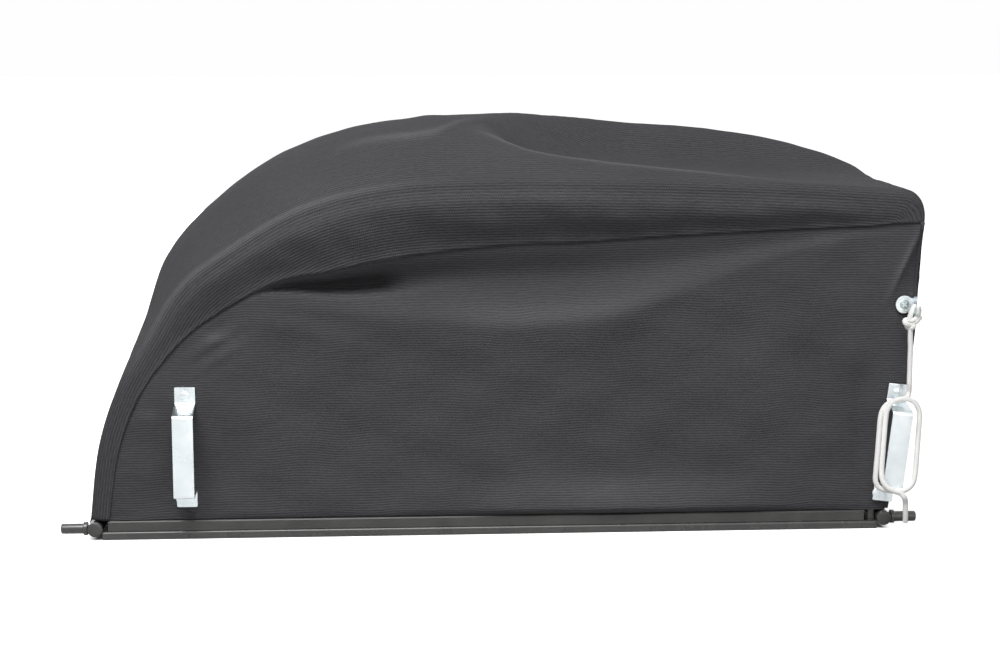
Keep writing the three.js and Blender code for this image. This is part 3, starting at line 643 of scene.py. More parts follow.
@dataclass(frozen=True)
class ClothFinish:
    """Charcoal ribbed cloth, with painted shade between its ribs and painted highlights on the rib tops and
    on its creases.
    """

    name: str
    # Rib colours: valley is painted shade in the grooves between ribs, ridge the painted highlight on their
    # tops
    valley: Colour = (0.036, 0.0358, 0.0385)
    ridge: Colour = (0.106, 0.105, 0.112)
    lint: Colour = (0.22, 0.22, 0.21)
    # Painted highlight: the pale colour laid on creases, the crest, the streak and folds where light catches
    # them
    painted_highlight: Colour = (0.165, 0.165, 0.172)
    rib_pitch: float = 0.0024
    rib_relief: float = 0.00022
    speckle: float = 0.25
    roughness: float = 0.95
    sheen: float = 0.03

    def build(self, effects: Effects) -> bpy.types.Material:
        """Makes the material.

        Args:
            effects: The shared shader groups.

        Returns:
            The material.
        """
        material, nodes, shader = new_material(self.name)
        weave = nodes.add("UVMap", uv_map="Weave").outputs[0]
        ribs = place_group(nodes, effects.ribbing, Weave=weave, Pitch=self.rib_pitch, Speckle=self.speckle)
        # Painted shade and highlight of the ribs: dark in the grooves, pale on the rib tops; the yarn noise
        # adds the yarn's own tone
        tone = nodes.math("ADD", nodes.math("MULTIPLY", ribs.outputs["Rib"], 0.6),
                          nodes.math("MULTIPLY", ribs.outputs["Yarn"], 0.4))
        colour = nodes.mix(tone, (*self.valley, 1.0), (*self.ridge, 1.0))
        broad = nodes.ranged(nodes.noise(weave, 9.0, 3.0), 0.3, 0.7, 0.93, 1.07)
        faded = nodes.add("Mix", data_type="RGBA", blend_type="MULTIPLY")
        faded.inputs["Factor"].default_value = 1.0
        nodes.put(colour, faded.inputs[6])
        nodes.put(broad, faded.inputs[7])
        specks = place_group(nodes, effects.lint, Place=weave, Spacing=0.03, Size=0.014)
        # Painted highlight: the second UV map lays a pale colour on creases and folds, more on the rib tops
        highlight_mask = nodes.add("SeparateXYZ")
        nodes.put(nodes.add("UVMap", uv_map="PaintedHighlight").outputs[0], highlight_mask.inputs[0])
        on_ribs = nodes.ranged(ribs.outputs["Rib"], 0.1, 0.9, 0.35, 1.0)
        highlighted = nodes.math("MULTIPLY", highlight_mask.outputs["X"], on_ribs)
        painted_highlight = nodes.mix(highlighted, faded.outputs[2], (*self.painted_highlight, 1.0))
        nodes.put(nodes.mix(specks.outputs["Specks"], painted_highlight, (*self.lint, 1.0)), shader.inputs["Base Color"])
        nodes.bump(shader, ribs.outputs["Height"], 0.9, self.rib_relief)
        nodes.fill(shader, Roughness=self.roughness, Specular_IOR_Level=0.08, Sheen_Weight=self.sheen,
                   Sheen_Roughness=0.45)
        return material


@dataclass(frozen=True)
class HardFinish:
    """Coated steel, plastic or zinc: a grained surface with a soft mottle."""

    name: str
    dark: Colour
    light: Colour
    metallic: float
    roughness: Pair
    grain: float
    drawn: float
    relief: float
    strength: float
    coat: float = 0.0

    def build(self, effects: Effects) -> bpy.types.Material:
        """Makes the material.

        Args:
            effects: The shared shader groups.

        Returns:
            The material.
        """
        material, nodes, shader = new_material(self.name)
        place = nodes.add("TexCoord").outputs["Object"]
        grain = place_group(nodes, effects.grain, Place=place, Grain=self.grain, Drawn=self.drawn)
        mottle = nodes.ranged(grain.outputs["Mottle"], 0.3, 0.7, 0.0, 1.0)
        nodes.put(nodes.mix(mottle, (*self.dark, 1.0), (*self.light, 1.0)), shader.inputs["Base Color"])
        matt = nodes.ranged(grain.outputs["Mottle"], 0.3, 0.7, *self.roughness)
        nodes.put(matt, shader.inputs["Roughness"])
        nodes.bump(shader, grain.outputs["Height"], self.strength, self.relief)
        nodes.fill(shader, Metallic=self.metallic, Coat_Weight=self.coat, Coat_Roughness=0.25)
        return material


ZINC = HardFinish("zinc_plate", dark=(0.76, 0.83, 0.86), light=(0.91, 0.95, 0.96), metallic=1.0,
                  roughness=(0.24, 0.38), grain=700.0, drawn=0.5, relief=0.0001, strength=0.2)
DULL_ZINC = HardFinish("dull_zinc", dark=(0.06, 0.08, 0.08), light=(0.42, 0.49, 0.49), metallic=1.0,
                       roughness=(0.30, 0.5), grain=900.0, drawn=0.0, relief=0.00015, strength=0.4)
STEEL = HardFinish("coated_steel", dark=(0.035, 0.035, 0.034), light=(0.055, 0.054, 0.052), metallic=0.0,
                   roughness=(0.22, 0.36), grain=1400.0, drawn=0.1, relief=0.0001, strength=0.2, coat=0.6)
PLASTIC = HardFinish("edge_plastic", dark=(0.046, 0.046, 0.045), light=(0.068, 0.068, 0.066), metallic=0.0,
                     roughness=(0.3, 0.42), grain=1100.0, drawn=0.3, relief=0.00012, strength=0.2)
PANEL_CLOTH = ClothFinish("ribbed_cloth")
# A copy with deeper painted shade between its ribs and paler painted highlights on them
WRAP_CLOTH = ClothFinish("ribbed_wrap_cloth", valley=(0.020, 0.020, 0.022), ridge=(0.112, 0.111, 0.118),
                         rib_pitch=0.0027, rib_relief=0.0003, speckle=0.7)


@dataclass(frozen=True)
class CordFinish:
    """White braided cord, whose UV map runs round the cord in U and along it in V, both in metres."""

    name: str
    # groove is painted shade in the plait's grooves; yarn is the cord's own white
    groove: Colour = (0.84, 0.83, 0.80)
    yarn: Colour = (0.97, 0.965, 0.95)
    plait: float = 0.0026

    def build(self) -> bpy.types.Material:
        """Makes the material."""
        material, nodes, shader = new_material(self.name)
        weave = nodes.add("UVMap", uv_map="Weave").outputs[0]
        split = nodes.add("SeparateXYZ")
        nodes.put(weave, split.inputs[0])
        turn = 2.0 * math.pi / self.plait
        both = []
        for lean in (1.0, -1.0):
            slanted = nodes.math("MULTIPLY_ADD", split.outputs["X"], lean, split.outputs["Y"])
            both.append(nodes.math("SINE", nodes.math("MULTIPLY", slanted, turn)))
        plaits = nodes.math("MULTIPLY_ADD", nodes.math("MULTIPLY", *both), 0.5, 0.5)
        fibres = nodes.noise(nodes.stretch(weave, (5000.0, 900.0, 1.0)), 1.0, 2.0)
        height = nodes.math("MULTIPLY_ADD", fibres, 0.35, plaits)
        raised = nodes.ranged(height, 0.1, 0.9, 0.0, 1.0)
        # Painted shade: the colour darkens where the plait sinks into its grooves
        nodes.put(nodes.mix(raised, (*self.groove, 1.0), (*self.yarn, 1.0)), shader.inputs["Base Color"])
        nodes.bump(shader, height, 0.5, 0.0003)
        nodes.fill(shader, Roughness=0.8, Sheen_Weight=0.2)
        return material


@dataclass
class BagForm:
    """Outline of the bag and the faces of its cloth, from the sizes that the part is built with."""

    fit_gap: float = 0.3 * MM
    cloth: float = 1.5 * MM
    hem_height: float = 19.6 * MM
    half_length: float = 385 * MM
    crown_start: float = 20 * MM
    crown_height: float = 344 * MM
    corner_run: float = 20.3 * MM
    corner_start_height: float = 330.5 * MM
    top_overhang: float = 27.3 * MM
    corner_end_height: float = 304 * MM
    right_edge_bulge: float = 5 * MM
    turn_radius: float = 10 * MM
    turn_share: float = 0.45
    seam_lap: float = 8 * MM
    shoulder: Keys = ((0.022, 0.208), (0.067, 0.38), (0.136, 0.535), (0.215, 0.689), (0.321, 0.793),
                      (0.506, 0.923), (0.728, 0.988))
    band_width: float = 71 * MM
    band_keys: Keys = ((0, 0.254), (0.1, 0.31), (0.145, 0.394), (0.19, 0.62), (0.25, 0.732), (0.3, 0.958),
                       (0.37, 1), (0.46, 0.901), (0.51, 0.873), (0.7, 0.563), (0.749, 0.423), (0.777, 0.099),
                       (1, 0.099))
    dome_rise: float = 52 * MM
    lift_keys: Keys = ((0, 0), (0.1, 0.085), (0.145, 0.24), (0.19, 0.51), (0.235, 0.73), (0.3, 0.865),
                       (0.375, 0.96), (0.46, 1), (0.505, 0.904), (0.555, 0.808), (0.62, 0.72),
                       (0.665, 0.635), (0.706, 0.44), (0.731, 0.29), (0.745, 0.17), (0.765, 0), (1, 0))
    dome_fullness: float = 0.9
    fold_start: float = 0.41
    fold_full: float = 0.475
    fold_settled: float = 0.56
    ridge_rise: float = 34 * MM
    ridge_keys: Keys = ((0.41, 1), (0.44, 0.88), (0.475, 0.56), (0.508, 0.38), (0.56, 0.235), (0.63, 0.074),
                        (0.68, 0), (1, 0))
    ridge_place_keys: Keys = ((0.41, 0.3), (0.44, 0.25), (0.475, 0.165), (0.508, 0.13), (0.56, 0.08),
                              (0.63, 0.05), (1, 0.05))
    lobe_centres: Pair = (0.56, 0.74)
    lobe_widths: Pair = (0.24, 0.15)
    # Where the band's seam runs straight on to the square edge, by share of the outline and in height
    corner_from: float = 0.742
    corner_to: float = 0.784
    corner_seam_rise: float = 299.3 * MM
    edge_lap: float = 1.4 * MM
    hem_tuck: float = 0.6 * MM
    band_plane: float = field(init=False)
    middle: float = field(init=False)
    near_plane: float = field(init=False)
    panel_seat: float = field(init=False)
    band_seat: float = field(init=False)
    length: float = field(init=False)

    def __post_init__(self) -> None:
        """Takes the planes of the cloth from the frame and lays out the outline."""
        low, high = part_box("wrap_panel")
        self.middle = (low.y + high.y) / 2
        self.band_plane = low.y - self.middle
        self.near_plane = self.band_plane + self.cloth + self.fit_gap
        self.panel_seat = self.middle + self.near_plane - self.fit_gap
        self.band_seat = self.middle + self.band_plane - self.fit_gap
        self._lay_outline()
        self.band_at = KeyedValue(self.band_keys, self.band_width)
        self.lift_at = KeyedValue(self.lift_keys, self.dome_rise)
        self.ridge_at = KeyedValue(self.ridge_keys, self.ridge_rise)
        self.ridge_place_at = KeyedValue(self.ridge_place_keys)

    def _lay_outline(self) -> None:
        """Lays the outline as a fine line of points, with its normals by share of its length."""
        reach = self.half_length + self.top_overhang
        start = reach - self.corner_run
        slope = (self.crown_height - self.corner_start_height) / (start - self.crown_start)
        knots = [(0.0, 0.0), *self.shoulder, (1.0, 1.0)]
        run = self.crown_start + self.half_length
        rise = self.crown_height - self.hem_height
        points = np.array([(-self.half_length + a * run, self.hem_height + b * rise) for a, b in knots])
        parts = [self._spline(points, 60)]
        parts.append(self._bezier((self.crown_start, self.crown_height),
                                  ((self.crown_start + start) / 2, self.crown_height),
                                  (start, self.corner_start_height), 300))
        parts.append(self._bezier((start, self.corner_start_height),
                                  (reach, self.corner_start_height - 2 * slope * (reach - start)),
                                  (reach, self.corner_end_height), 200))
        bulge = (reach + self.half_length) / 2 + 2 * self.right_edge_bulge
        parts.append(self._bezier((reach, self.corner_end_height),
                                  (bulge, (self.corner_end_height + self.hem_height) / 2),
                                  (self.half_length, self.hem_height), 300))
        line = np.concatenate([parts[0]] + [part[1:] for part in parts[1:]])
        along = distances_along(line)
        self.length = float(along[-1])
        self.line = line
        self.shares = along / along[-1]
        tangent = np.gradient(line, along, axis=0)
        tangent /= np.linalg.norm(tangent, axis=1)[:, None]
        self.normals = np.stack([-tangent[:, 1], tangent[:, 0]], axis=1)

    @staticmethod
    def _spline(points: np.ndarray, steps: int) -> np.ndarray:
        """A Catmull-Rom line through points."""
        last = len(points) - 1
        found = []
        for i in range(last):
            p0, p1 = points[max(i - 1, 0)], points[i]
            p2, p3 = points[i + 1], points[min(i + 2, last)]
            for step in range(steps):
                t = step / steps
                v0, v1 = (p2 - p0) / 2, (p3 - p1) / 2
                found.append((2 * p1 - 2 * p2 + v0 + v1) * t ** 3 + (-3 * p1 + 3 * p2 - 2 * v0 - v1) * t ** 2
                             + v0 * t + p1)
        found.append(points[-1])
        return np.array(found)

    @staticmethod
    def _bezier(start: Point, control: Point, end: Point, steps: int) -> np.ndarray:
        """A quadratic Bezier line."""
        t = np.linspace(0.0, 1.0, steps + 1)[:, None]
        a, b, c = (np.array(p, float) for p in (start, control, end))
        return (1 - t) ** 2 * a + 2 * t * (1 - t) * b + t ** 2 * c

    def outline(self, share: np.ndarray) -> tuple[np.ndarray, np.ndarray]:
        """Points and outward normals of the outline, in x and z, by share of its length."""
        point = np.stack([np.interp(share, self.shares, self.line[:, k]) for k in (0, 1)], axis=-1)
        normal = np.stack([np.interp(share, self.shares, self.normals[:, k]) for k in (0, 1)], axis=-1)
        return point, normal / np.linalg.norm(normal, axis=-1, keepdims=True)

    def turn_at(self, share: np.ndarray) -> np.ndarray:
        """Radius of the turn from the band to the top."""
        return np.minimum(self.turn_radius, self.turn_share * self.band_at(share))

    def lift(self, share: np.ndarray, across: np.ndarray) -> np.ndarray:
        """Rise of the wrap above its outline; across is 0 at the near crease and 1 at the far one."""
        blend = smoothstep(share, self.fold_start, self.fold_full)
        settled = smoothstep(share, self.fold_start, self.fold_settled)
        dome = np.sin(math.pi * np.clip(across, 0.0, 1.0)) ** self.dome_fullness
        centre = self.lobe_centres[0] + (self.lobe_centres[1] - self.lobe_centres[0]) * settled
        width = self.lobe_widths[0] + (self.lobe_widths[1] - self.lobe_widths[0]) * settled
        taper = np.sqrt(np.clip((1 - across) / (1 - centre), 0.0, 1.0))
        lobe = taper * np.exp(-(((across - centre) / width) ** 2))
        beside = across / self.ridge_place_at(share)
        ridge = (1 - lobe) * (beside * np.exp(1 - beside)) ** 2
        lift = self.lift_at(share)
        return (1 - blend) * lift * dome + blend * (lift * lobe + self.ridge_at(share) * ridge)

    def inset(self, share: np.ndarray, inset: np.ndarray, y: np.ndarray) -> np.ndarray:
        """Points at an inset from the outline and a place in depth."""
        point, normal = self.outline(share)
        x = point[..., 0] - inset * normal[..., 0]
        z = np.maximum(self.hem_height, point[..., 1] - inset * normal[..., 1])
        return np.stack([x, y + self.middle, z], axis=-1)

    def wrap(self, share: np.ndarray, across: np.ndarray) -> tuple[np.ndarray, np.ndarray]:
        """Outer face of the wrap; across runs from 0 at the near seam to 5 at the far one.

        Args:
            share: Place along the outline, 0 to 1.
            across: Place across: band, turn, top, turn, band.

        Returns:
            The points, and the distance across the cloth from the near crease.
        """
        far = across > 2.5
        along = np.where(far, 5.0 - across, across)
        turn = self.turn_at(share)
        band = self.band_at(share)
        angle = (np.clip(along, 1.0, 2.0) - 1.0) * math.pi / 2
        top = np.clip(across - 2.0, 0.0, 1.0)
        room = -2.0 * self.band_plane - 2.0 * turn
        inset = np.where(along <= 1, band + (turn - band) * along,
                         np.where(along <= 2, turn * (1 - np.sin(angle)), -self.lift(share, top)))
        from_band = np.where(along <= 1, 0.0, np.where(along <= 2, turn * (1 - np.cos(angle)),
                                                       turn + np.where(far, 1 - top, top) * room))
        y = self.band_plane + from_band
        points = self.inset(share, inset, np.where(far, -y, y))
        shift = self._corner_shift(share)
        points[..., [0, 2]] += np.clip(1.0 - along, 0.0, 1.0)[..., None] * shift
        flat = np.where(along <= 1, (along - 1) * (band - turn), np.where(along <= 2, angle * turn, 0.0))
        quarter = math.pi / 2 * turn
        spread = quarter + top * room
        distance = np.where(along <= 2, flat, spread)
        distance = np.where(far & (along <= 2), 2 * quarter + room - flat, distance)
        return points, distance

    def _corner_shift(self, share: np.ndarray) -> np.ndarray:
        """How far the seam moves, in x and z, so that it runs on to the square edge."""
        line = self.inset(share, self.band_at(share), np.zeros_like(share))[..., [0, 2]]
        start = self.inset(np.array(self.corner_from), self.band_at(self.corner_from), np.array(0.0))[[0, 2]]
        end = self.outline(np.array(self.corner_to))[0]
        run = np.clip((share - self.corner_from) / (self.corner_to - self.corner_from), 0.0, 1.0)[..., None]
        straight = start + (np.array([end[0] - self.edge_lap, self.corner_seam_rise]) - start) * run
        edge, normal = self.outline(share)
        narrow = edge - (self.turn_at(share) + self.edge_lap)[..., None] * normal
        below = smoothstep(share, self.corner_to, self.corner_to + 0.006)[..., None]
        goal = straight * (1.0 - below) + narrow * below
        return np.where((share > self.corner_from)[..., None], goal - line, 0.0)

    def seam_inset(self, share: np.ndarray) -> np.ndarray:
        """Inset of the panels' upper edge, which laps behind the band."""
        return np.maximum(self.turn_at(share), self.band_at(share) - self.seam_lap)


@dataclass(frozen=True)
class Swelling:
    """A soft swelling of a panel at its hem: its depth, its place along X and where it fades in height."""

    depth: float
    middle: float
    half: float
    low: float
    high: float

    def at(self, x: np.ndarray, z: np.ndarray) -> np.ndarray:
        """Its depth at each point."""
        return self.depth * bump_at(x, self.middle, self.half) * (1 - smoothstep(z, self.low, self.high))


@dataclass
class ClothShell:
    """The cloth: two side panels and the wrap that laps over them."""

    form: BagForm
    finish: bpy.types.Material
    wrap_finish: bpy.types.Material
    wrap_rows: int = 350
    top_columns: int = 74
    panel_rows: int = 250
    panel_columns: int = 100
    hem_spread_rise: float = 0.25
    # Flat sizes: a panel's hem beyond the bag's length and its height, the wrap's depth between its bands
    # and its hem, and how much of the flat size the cut cloth fills
    panel_hem: float = 30 * MM
    panel_height: float = 310 * MM
    panel_fill: float = 0.84
    wrap_depth: float = 310 * MM
    wrap_hem: float = 20 * MM
    wrap_fill: float = 0.80
    # Depth of the near seam behind the band's plane in millimetres, by X
    seam_keys: Keys = ((-0.30, 0), (-0.24, 0.6), (-0.15, 1.2), (-0.08, 3), (0.0, 6), (0.08, 8.5),
                       (0.2, 7.5), (0.3, 4.5), (0.37, 1.5), (0.41, 0))
    # Pocket below the shoulder's seam: depth and height of its lip in millimetres, by X
    pocket_keys: Keys = ((-0.225, 0), (-0.207, 8), (-0.185, 18), (-0.14, 29), (-0.112, 28),
                         (-0.085, 11), (-0.04, 2), (0.0, 0))
    pocket_lip: Keys = ((-0.225, 237), (-0.192, 236.5), (-0.1545, 233.5), (-0.098, 234.5), (-0.05, 240),
                        (0.0, 246))
    # Valley below the seam: depth beyond the seam's, and the long ridge that ends it, by X
    valley_keys: Keys = ((-0.15, 0), (-0.1, 6), (-0.03, 12), (0.05, 11), (0.12, 7), (0.2, 2.5), (0.3, 0))
    ridge_line: Keys = ((-0.235, 229), (-0.155, 217.5), (-0.06, 210.5), (0.0012, 204.7), (0.087, 208.7),
                        (0.1405, 221.7), (0.194, 240.4), (0.247, 260.2), (0.292, 273.3), (0.34, 285))
    ridge_keys: Keys = ((-0.25, 0), (-0.2, 1.8), (-0.12, 2.6), (-0.02, 3.6), (0.07, 4.8), (0.14, 4.0),
                        (0.2, 2.4), (0.28, 0.8), (0.34, 0))
    ridge_above: float = 12 * MM
    ridge_below: float = 30 * MM
    # A second, lower ridge on the left: height at its left end, slope, depth and width
    second_height: float = 215 * MM
    second_slope: float = -0.27
    second_depth: float = -1.3 * MM
    second_width: float = 9 * MM
    left_post_x: float = -292.5 * MM
    swellings: Sequence[Swelling] = (Swelling(-8.0 * MM, 0.125, 0.27, 0.018, 0.072),
                                     Swelling(-1.6 * MM, -0.16, 0.18, 0.02, 0.07))
    # The crease that slants down from the square top corner: a point on it, and how far it leans
    crease_x: float = 410.8 * MM
    crease_z: float = 296.4 * MM
    crease_lean: float = 0.44
    crease_depth: float = -1.8 * MM
    fall_slope: float = 0.42
    # The gathered point below the shoulder's seam, in x and z
    gather_x: float = -262 * MM
    gather_z: float = 187 * MM
    knob_rise: float = 6 * MM
    knob_depth: float = -1.6 * MM
    pucker_depth: float = -0.9 * MM
    pucker_pitch: float = 17 * MM
    # Depths of the near panel's upright creases at its right end and at its left post, and of its roll
    right_crease: float = 3.6 * MM
    left_crease: float = -1.6 * MM
    panel_roll: Pair = (1.35 * MM, 0.14 * MM)
    # The near band: how far it stands out at the dome, how much less on the way to the square end,
    # its ripples, the thickness of its folded seam and how far it falls back at the square edge
    band_bulge: float = 9 * MM
    bulge_loss: float = 5 * MM
    ripple: float = 1.9 * MM
    seam_fold: float = 0.5 * MM
    edge_flush: float = 2 * MM
    # Rises of the wrap's top: its roll, the bow under it, the streak, and the crest with its dip
    top_roll: Pair = (0.9 * MM, 0.25 * MM)
    bow_rise: float = 1.6 * MM
    streak_rise: float = 3.4 * MM
    crest_rise: float = 3.2 * MM
    crest_dip: float = 5 * MM
    bow_share: float = 0.4
    rib_pull: float = -0.28
    rib_pull_from: float = 235 * MM
    streak_keys: Keys = ((0.32, 0.2), (0.345, 0.25), (0.40, 0.235), (0.427, 0.38), (0.45, 0.5))

    def build(self) -> None:
        """Makes the three cloth pieces."""
        self._panel(Side.NEAR)
        self._panel(Side.FAR)
        self._wrap()

    def _close(self, name: str, points: np.ndarray, pattern: np.ndarray, highlight_mask: np.ndarray, node: str,
               finish: bpy.types.Material) -> bpy.types.Object:
        """Turns a grid of outer points into a sheet of the cloth's thickness.

        Args:
            name: The piece's name.
            points: Grid of outer points.
            pattern: Grid of UV values.
            highlight_mask: Grid of how strongly the creases and folds are painted with highlights.
            node: The CAD node that it stands for.
            finish: Its material.

        Returns:
            The finished piece.
        """
        piece = Bench.from_grid(name, points, pattern, highlight_mask)
        Bench.modify(piece, "SOLIDIFY", thickness=self.form.cloth, offset=-1.0)
        Bench.activate(piece)
        bpy.ops.object.shade_smooth()
        Bench.dress(piece, finish, Slot.CLOTH, node)
        return piece

    def _seam_depth(self, x: np.ndarray) -> np.ndarray:
        """Depth of the near seam at each x."""
        return KeyedValue(self.seam_keys, MM)(x)

    def _panel(self, side: Side) -> None:
        """Makes a side panel: upright lines fan from the hem to the seam."""
        form = self.form
        share = np.linspace(0.0, 1.0, self.panel_rows)
        edge = form.inset(share, form.seam_inset(share), np.zeros_like(share))
        steps = np.abs(np.diff(edge[:, 0])) + self.hem_spread_rise * np.abs(np.diff(edge[:, 2]))
        spread = np.concatenate([[0.0], np.cumsum(steps)])
        hem_x = edge[0, 0] + (edge[-1, 0] - form.hem_tuck - edge[0, 0]) * spread / spread[-1]
        low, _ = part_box("rear_panel")
        up = np.linspace(0.0, 1.0, self.panel_columns)[None, :]
        x = hem_x[:, None] + (edge[:, 0] - hem_x)[:, None] * up
        z = low.z + (edge[:, 2] - low.z)[:, None] * up
        pattern = np.stack([x, z + 1.2 * MM * soft_noise(x, z, 0.16, 5)], axis=-1)
        # The near panel gets painted highlights on its folds; the far panel gets none
        if side is Side.NEAR:
            node, highlight_mask = "front_panel", self._panel_highlights(x, z)
            y = form.middle + form.near_plane + self._near_relief(x, z)
        else:
            node, highlight_mask = "rear_panel", np.zeros_like(x)
            y = form.middle - form.near_plane - self._far_relief(x, z)
        points = np.stack([x, y, z], axis=-1)
        if side is Side.FAR:
            points, pattern = points[:, ::-1], pattern[:, ::-1]
        piece = self._close(node.replace("panel", "cloth"), points, pattern, highlight_mask, node, self.finish)

    def _near_relief(self, x: np.ndarray, z: np.ndarray) -> np.ndarray:
        """Depth of the near panel behind its plane: pocket, valley, ridges and soft folds."""
        form = self.form
        share = np.linspace(0.05, 0.74, 500)
        seam = form.inset(share, form.band_at(share), np.zeros_like(share))
        order = np.argsort(seam[:, 0])
        seam_z = np.interp(x, seam[order, 0], seam[order, 2])
        ridge_z = KeyedValue(self.ridge_line, MM)(x)
        below = (seam_z - z) / np.maximum(seam_z - ridge_z, 6 * MM)
        valley = KeyedValue(self.valley_keys, MM)(x) * smoothstep(below, 0.0, 0.42)
        relief = (self._seam_depth(x) + valley) * (1 - smoothstep(below, 0.42, 1.08))
        lip = KeyedValue(self.pocket_lip, MM)(x)
        down = np.clip((seam_z - z) / np.maximum(seam_z - lip, 5 * MM), 0.0, 1.3)
        pocket = KeyedValue(self.pocket_keys, MM)(x) * smoothstep(down, 0.0, 0.8)
        pocket *= 1 - smoothstep(down, 0.84, 1.12)
        ridge_width = np.where(z > ridge_z, self.ridge_above, self.ridge_below)
        ridge = -KeyedValue(self.ridge_keys, MM)(x) * swell(z, ridge_z, ridge_width)
        second_z = self.second_height + self.second_slope * (x + 0.235)
        second = self.second_depth * swell(z, second_z, self.second_width) * bump_at(x, -0.17, 0.09)
        post = smoothstep(np.abs(x - self.left_post_x), 0.010, 0.035)
        edge = smoothstep(form.half_length + 0.012 - x, 0.0, 0.05)
        edge *= smoothstep(x + form.half_length, 0.0, 0.04)
        hem = smoothstep(z, 0.0185, 0.0245)
        right = self.right_crease * swell(x - 0.10 * (z - 0.1), 0.360, 0.017) * bump_at(z, 0.11, 0.13)
        left = self.left_crease * (swell(x, -0.322, 0.012) + 0.8 * swell(x, -0.258, 0.018))
        left *= bump_at(z, 0.10, 0.09)
        broad, fine = self.panel_roll
        rolling = broad * soft_noise(x, 1.5 * z, 0.19, 11) + fine * soft_noise(x, 2.6 * z, 0.06, 12)
        rolling *= smoothstep(below, 0.7, 1.3)
        free = sum(swelling.at(x, z) for swelling in self.swellings) + left + right + rolling
        shaped = relief + pocket + ridge + second + free * edge * post * hem
        return shaped + self._puckers(x, z) + self.edge_fall(x, z)

    def _panel_highlights(self, x: np.ndarray, z: np.ndarray) -> np.ndarray:
        """Painted highlights on the near panel's folds: the slanting crease, the gathers, the belly and the
        ridge.
        """
        slanting = swell(self._beyond_crease(x, z), -0.002, 0.0035) * bump_at(z, 0.262, 0.05)
        knob = swell(x, self.gather_x, 0.012) * swell(z, self.gather_z + self.knob_rise, 0.005)
        spot = swell(x, -0.326, 0.009) * swell(z, 0.121, 0.004)
        belly = 0.42 * bump_at(x, 0.11, 0.2) * bump_at(z, 0.038, 0.026)
        ridge_z = KeyedValue(self.ridge_line, MM)(x)
        ridge = 0.3 * swell(z, ridge_z + 7 * MM, 10 * MM) * bump_at(x, 0.06, 0.13)
        return np.clip(0.7 * slanting + 0.45 * knob + 0.35 * spot + belly + ridge, 0.0, 1.0)

    def _beyond_crease(self, x: np.ndarray, z: np.ndarray) -> np.ndarray:
        """How far along X a point lies beyond the slanting crease."""
        return x - (self.crease_x - self.crease_lean * (self.crease_z - z))

    def edge_fall(self, x: np.ndarray, z: np.ndarray) -> np.ndarray:
        """How far the cloth beyond the slanting crease below the top corner falls back."""
        reach = smoothstep(z, 0.205, 0.262) * smoothstep(0.300 - z, 0.0, 0.006)
        beyond = self._beyond_crease(x, z)
        fold = self.crease_depth * swell(beyond, 0.0, np.where(beyond > 0, 0.003, 0.010))
        return reach * (self.fall_slope * np.maximum(0.0, beyond) + fold)

    def _puckers(self, x: np.ndarray, z: np.ndarray) -> np.ndarray:
        """Short gathers below the shoulder's seam."""
        across, up = x - self.gather_x, z - self.gather_z
        along = across * 0.80 + up * 0.60
        over = -across * 0.60 + up * 0.80
        waves = np.sin(2 * math.pi * over / self.pucker_pitch + 30 * along)
        waves *= bump_at(along, 0.0, 0.045) * bump_at(over, 0.0, 0.030)
        knob = swell(across, 0.0, 0.012) * swell(up, self.knob_rise, 0.006)
        return self.pucker_depth * waves + self.knob_depth * knob

    @staticmethod
    def _far_relief(x: np.ndarray, z: np.ndarray) -> np.ndarray:
        """Soft folds of the far panel."""
        inner = bump_at(x, 0.02, 0.40) * smoothstep(z, 0.03, 0.07) * smoothstep(0.30 - z, 0.0, 0.05)
        belly, roll = -1.2 * MM, 0.6 * MM
        return (roll * soft_noise(x, 1.6 * z, 0.14, 21) + belly) * inner

    def _wrap(self) -> None:
        """Makes the wrap with its bands, creases and top."""
        form = self.form
        shares = self._even_shares()
        band = np.linspace(0.0, 1.0, 15)[:-1] ** 1.15
        turn = np.linspace(1.0, 2.0, 7)[:-1]
        top = np.linspace(2.0, 3.0, self.top_columns + 1)
        across = np.concatenate([band, turn, top, 5.0 - turn[::-1], 5.0 - band[::-1]])
        share, over = np.meshgrid(shares, across, indexing="ij")
        points, distance = form.wrap(share, over)
        points = points + self._band_roll(share, over, points)
        normals = self._normals(points)
        points = points + normals * self._top_relief(share, over)[..., None]
        pattern = np.stack([share * form.length, distance + self._slant(share, over, points)], axis=-1)
        # Painted highlights along the near crease, the crest and the streak on the dome
        highlight_mask = self._wrap_highlights(share, over)
        piece = self._close("wrap_cloth", points, pattern, highlight_mask, "wrap_panel", self.wrap_finish)

    def _even_shares(self) -> np.ndarray:
        """Shares of the outline, closer together where the outline turns sharply."""
        form = self.form
        heading = np.unwrap(np.arctan2(form.normals[:, 1], form.normals[:, 0]))
        turning = np.abs(np.gradient(heading, form.shares))
        weight = 1.0 + np.minimum(turning, 60.0) / 25.0
        total = np.concatenate([[0.0], np.cumsum((weight[1:] + weight[:-1]) / 2 * np.diff(form.shares))])
        return np.interp(np.linspace(0.0, total[-1], self.wrap_rows), total, form.shares)

    @staticmethod
    def _normals(points: np.ndarray) -> np.ndarray:
        """Outward normals of a grid."""
        along = np.gradient(points, axis=0)
        over = np.gradient(points, axis=1)
        normal = np.cross(along, over)
        return normal / np.maximum(np.linalg.norm(normal, axis=-1, keepdims=True), 1e-12)

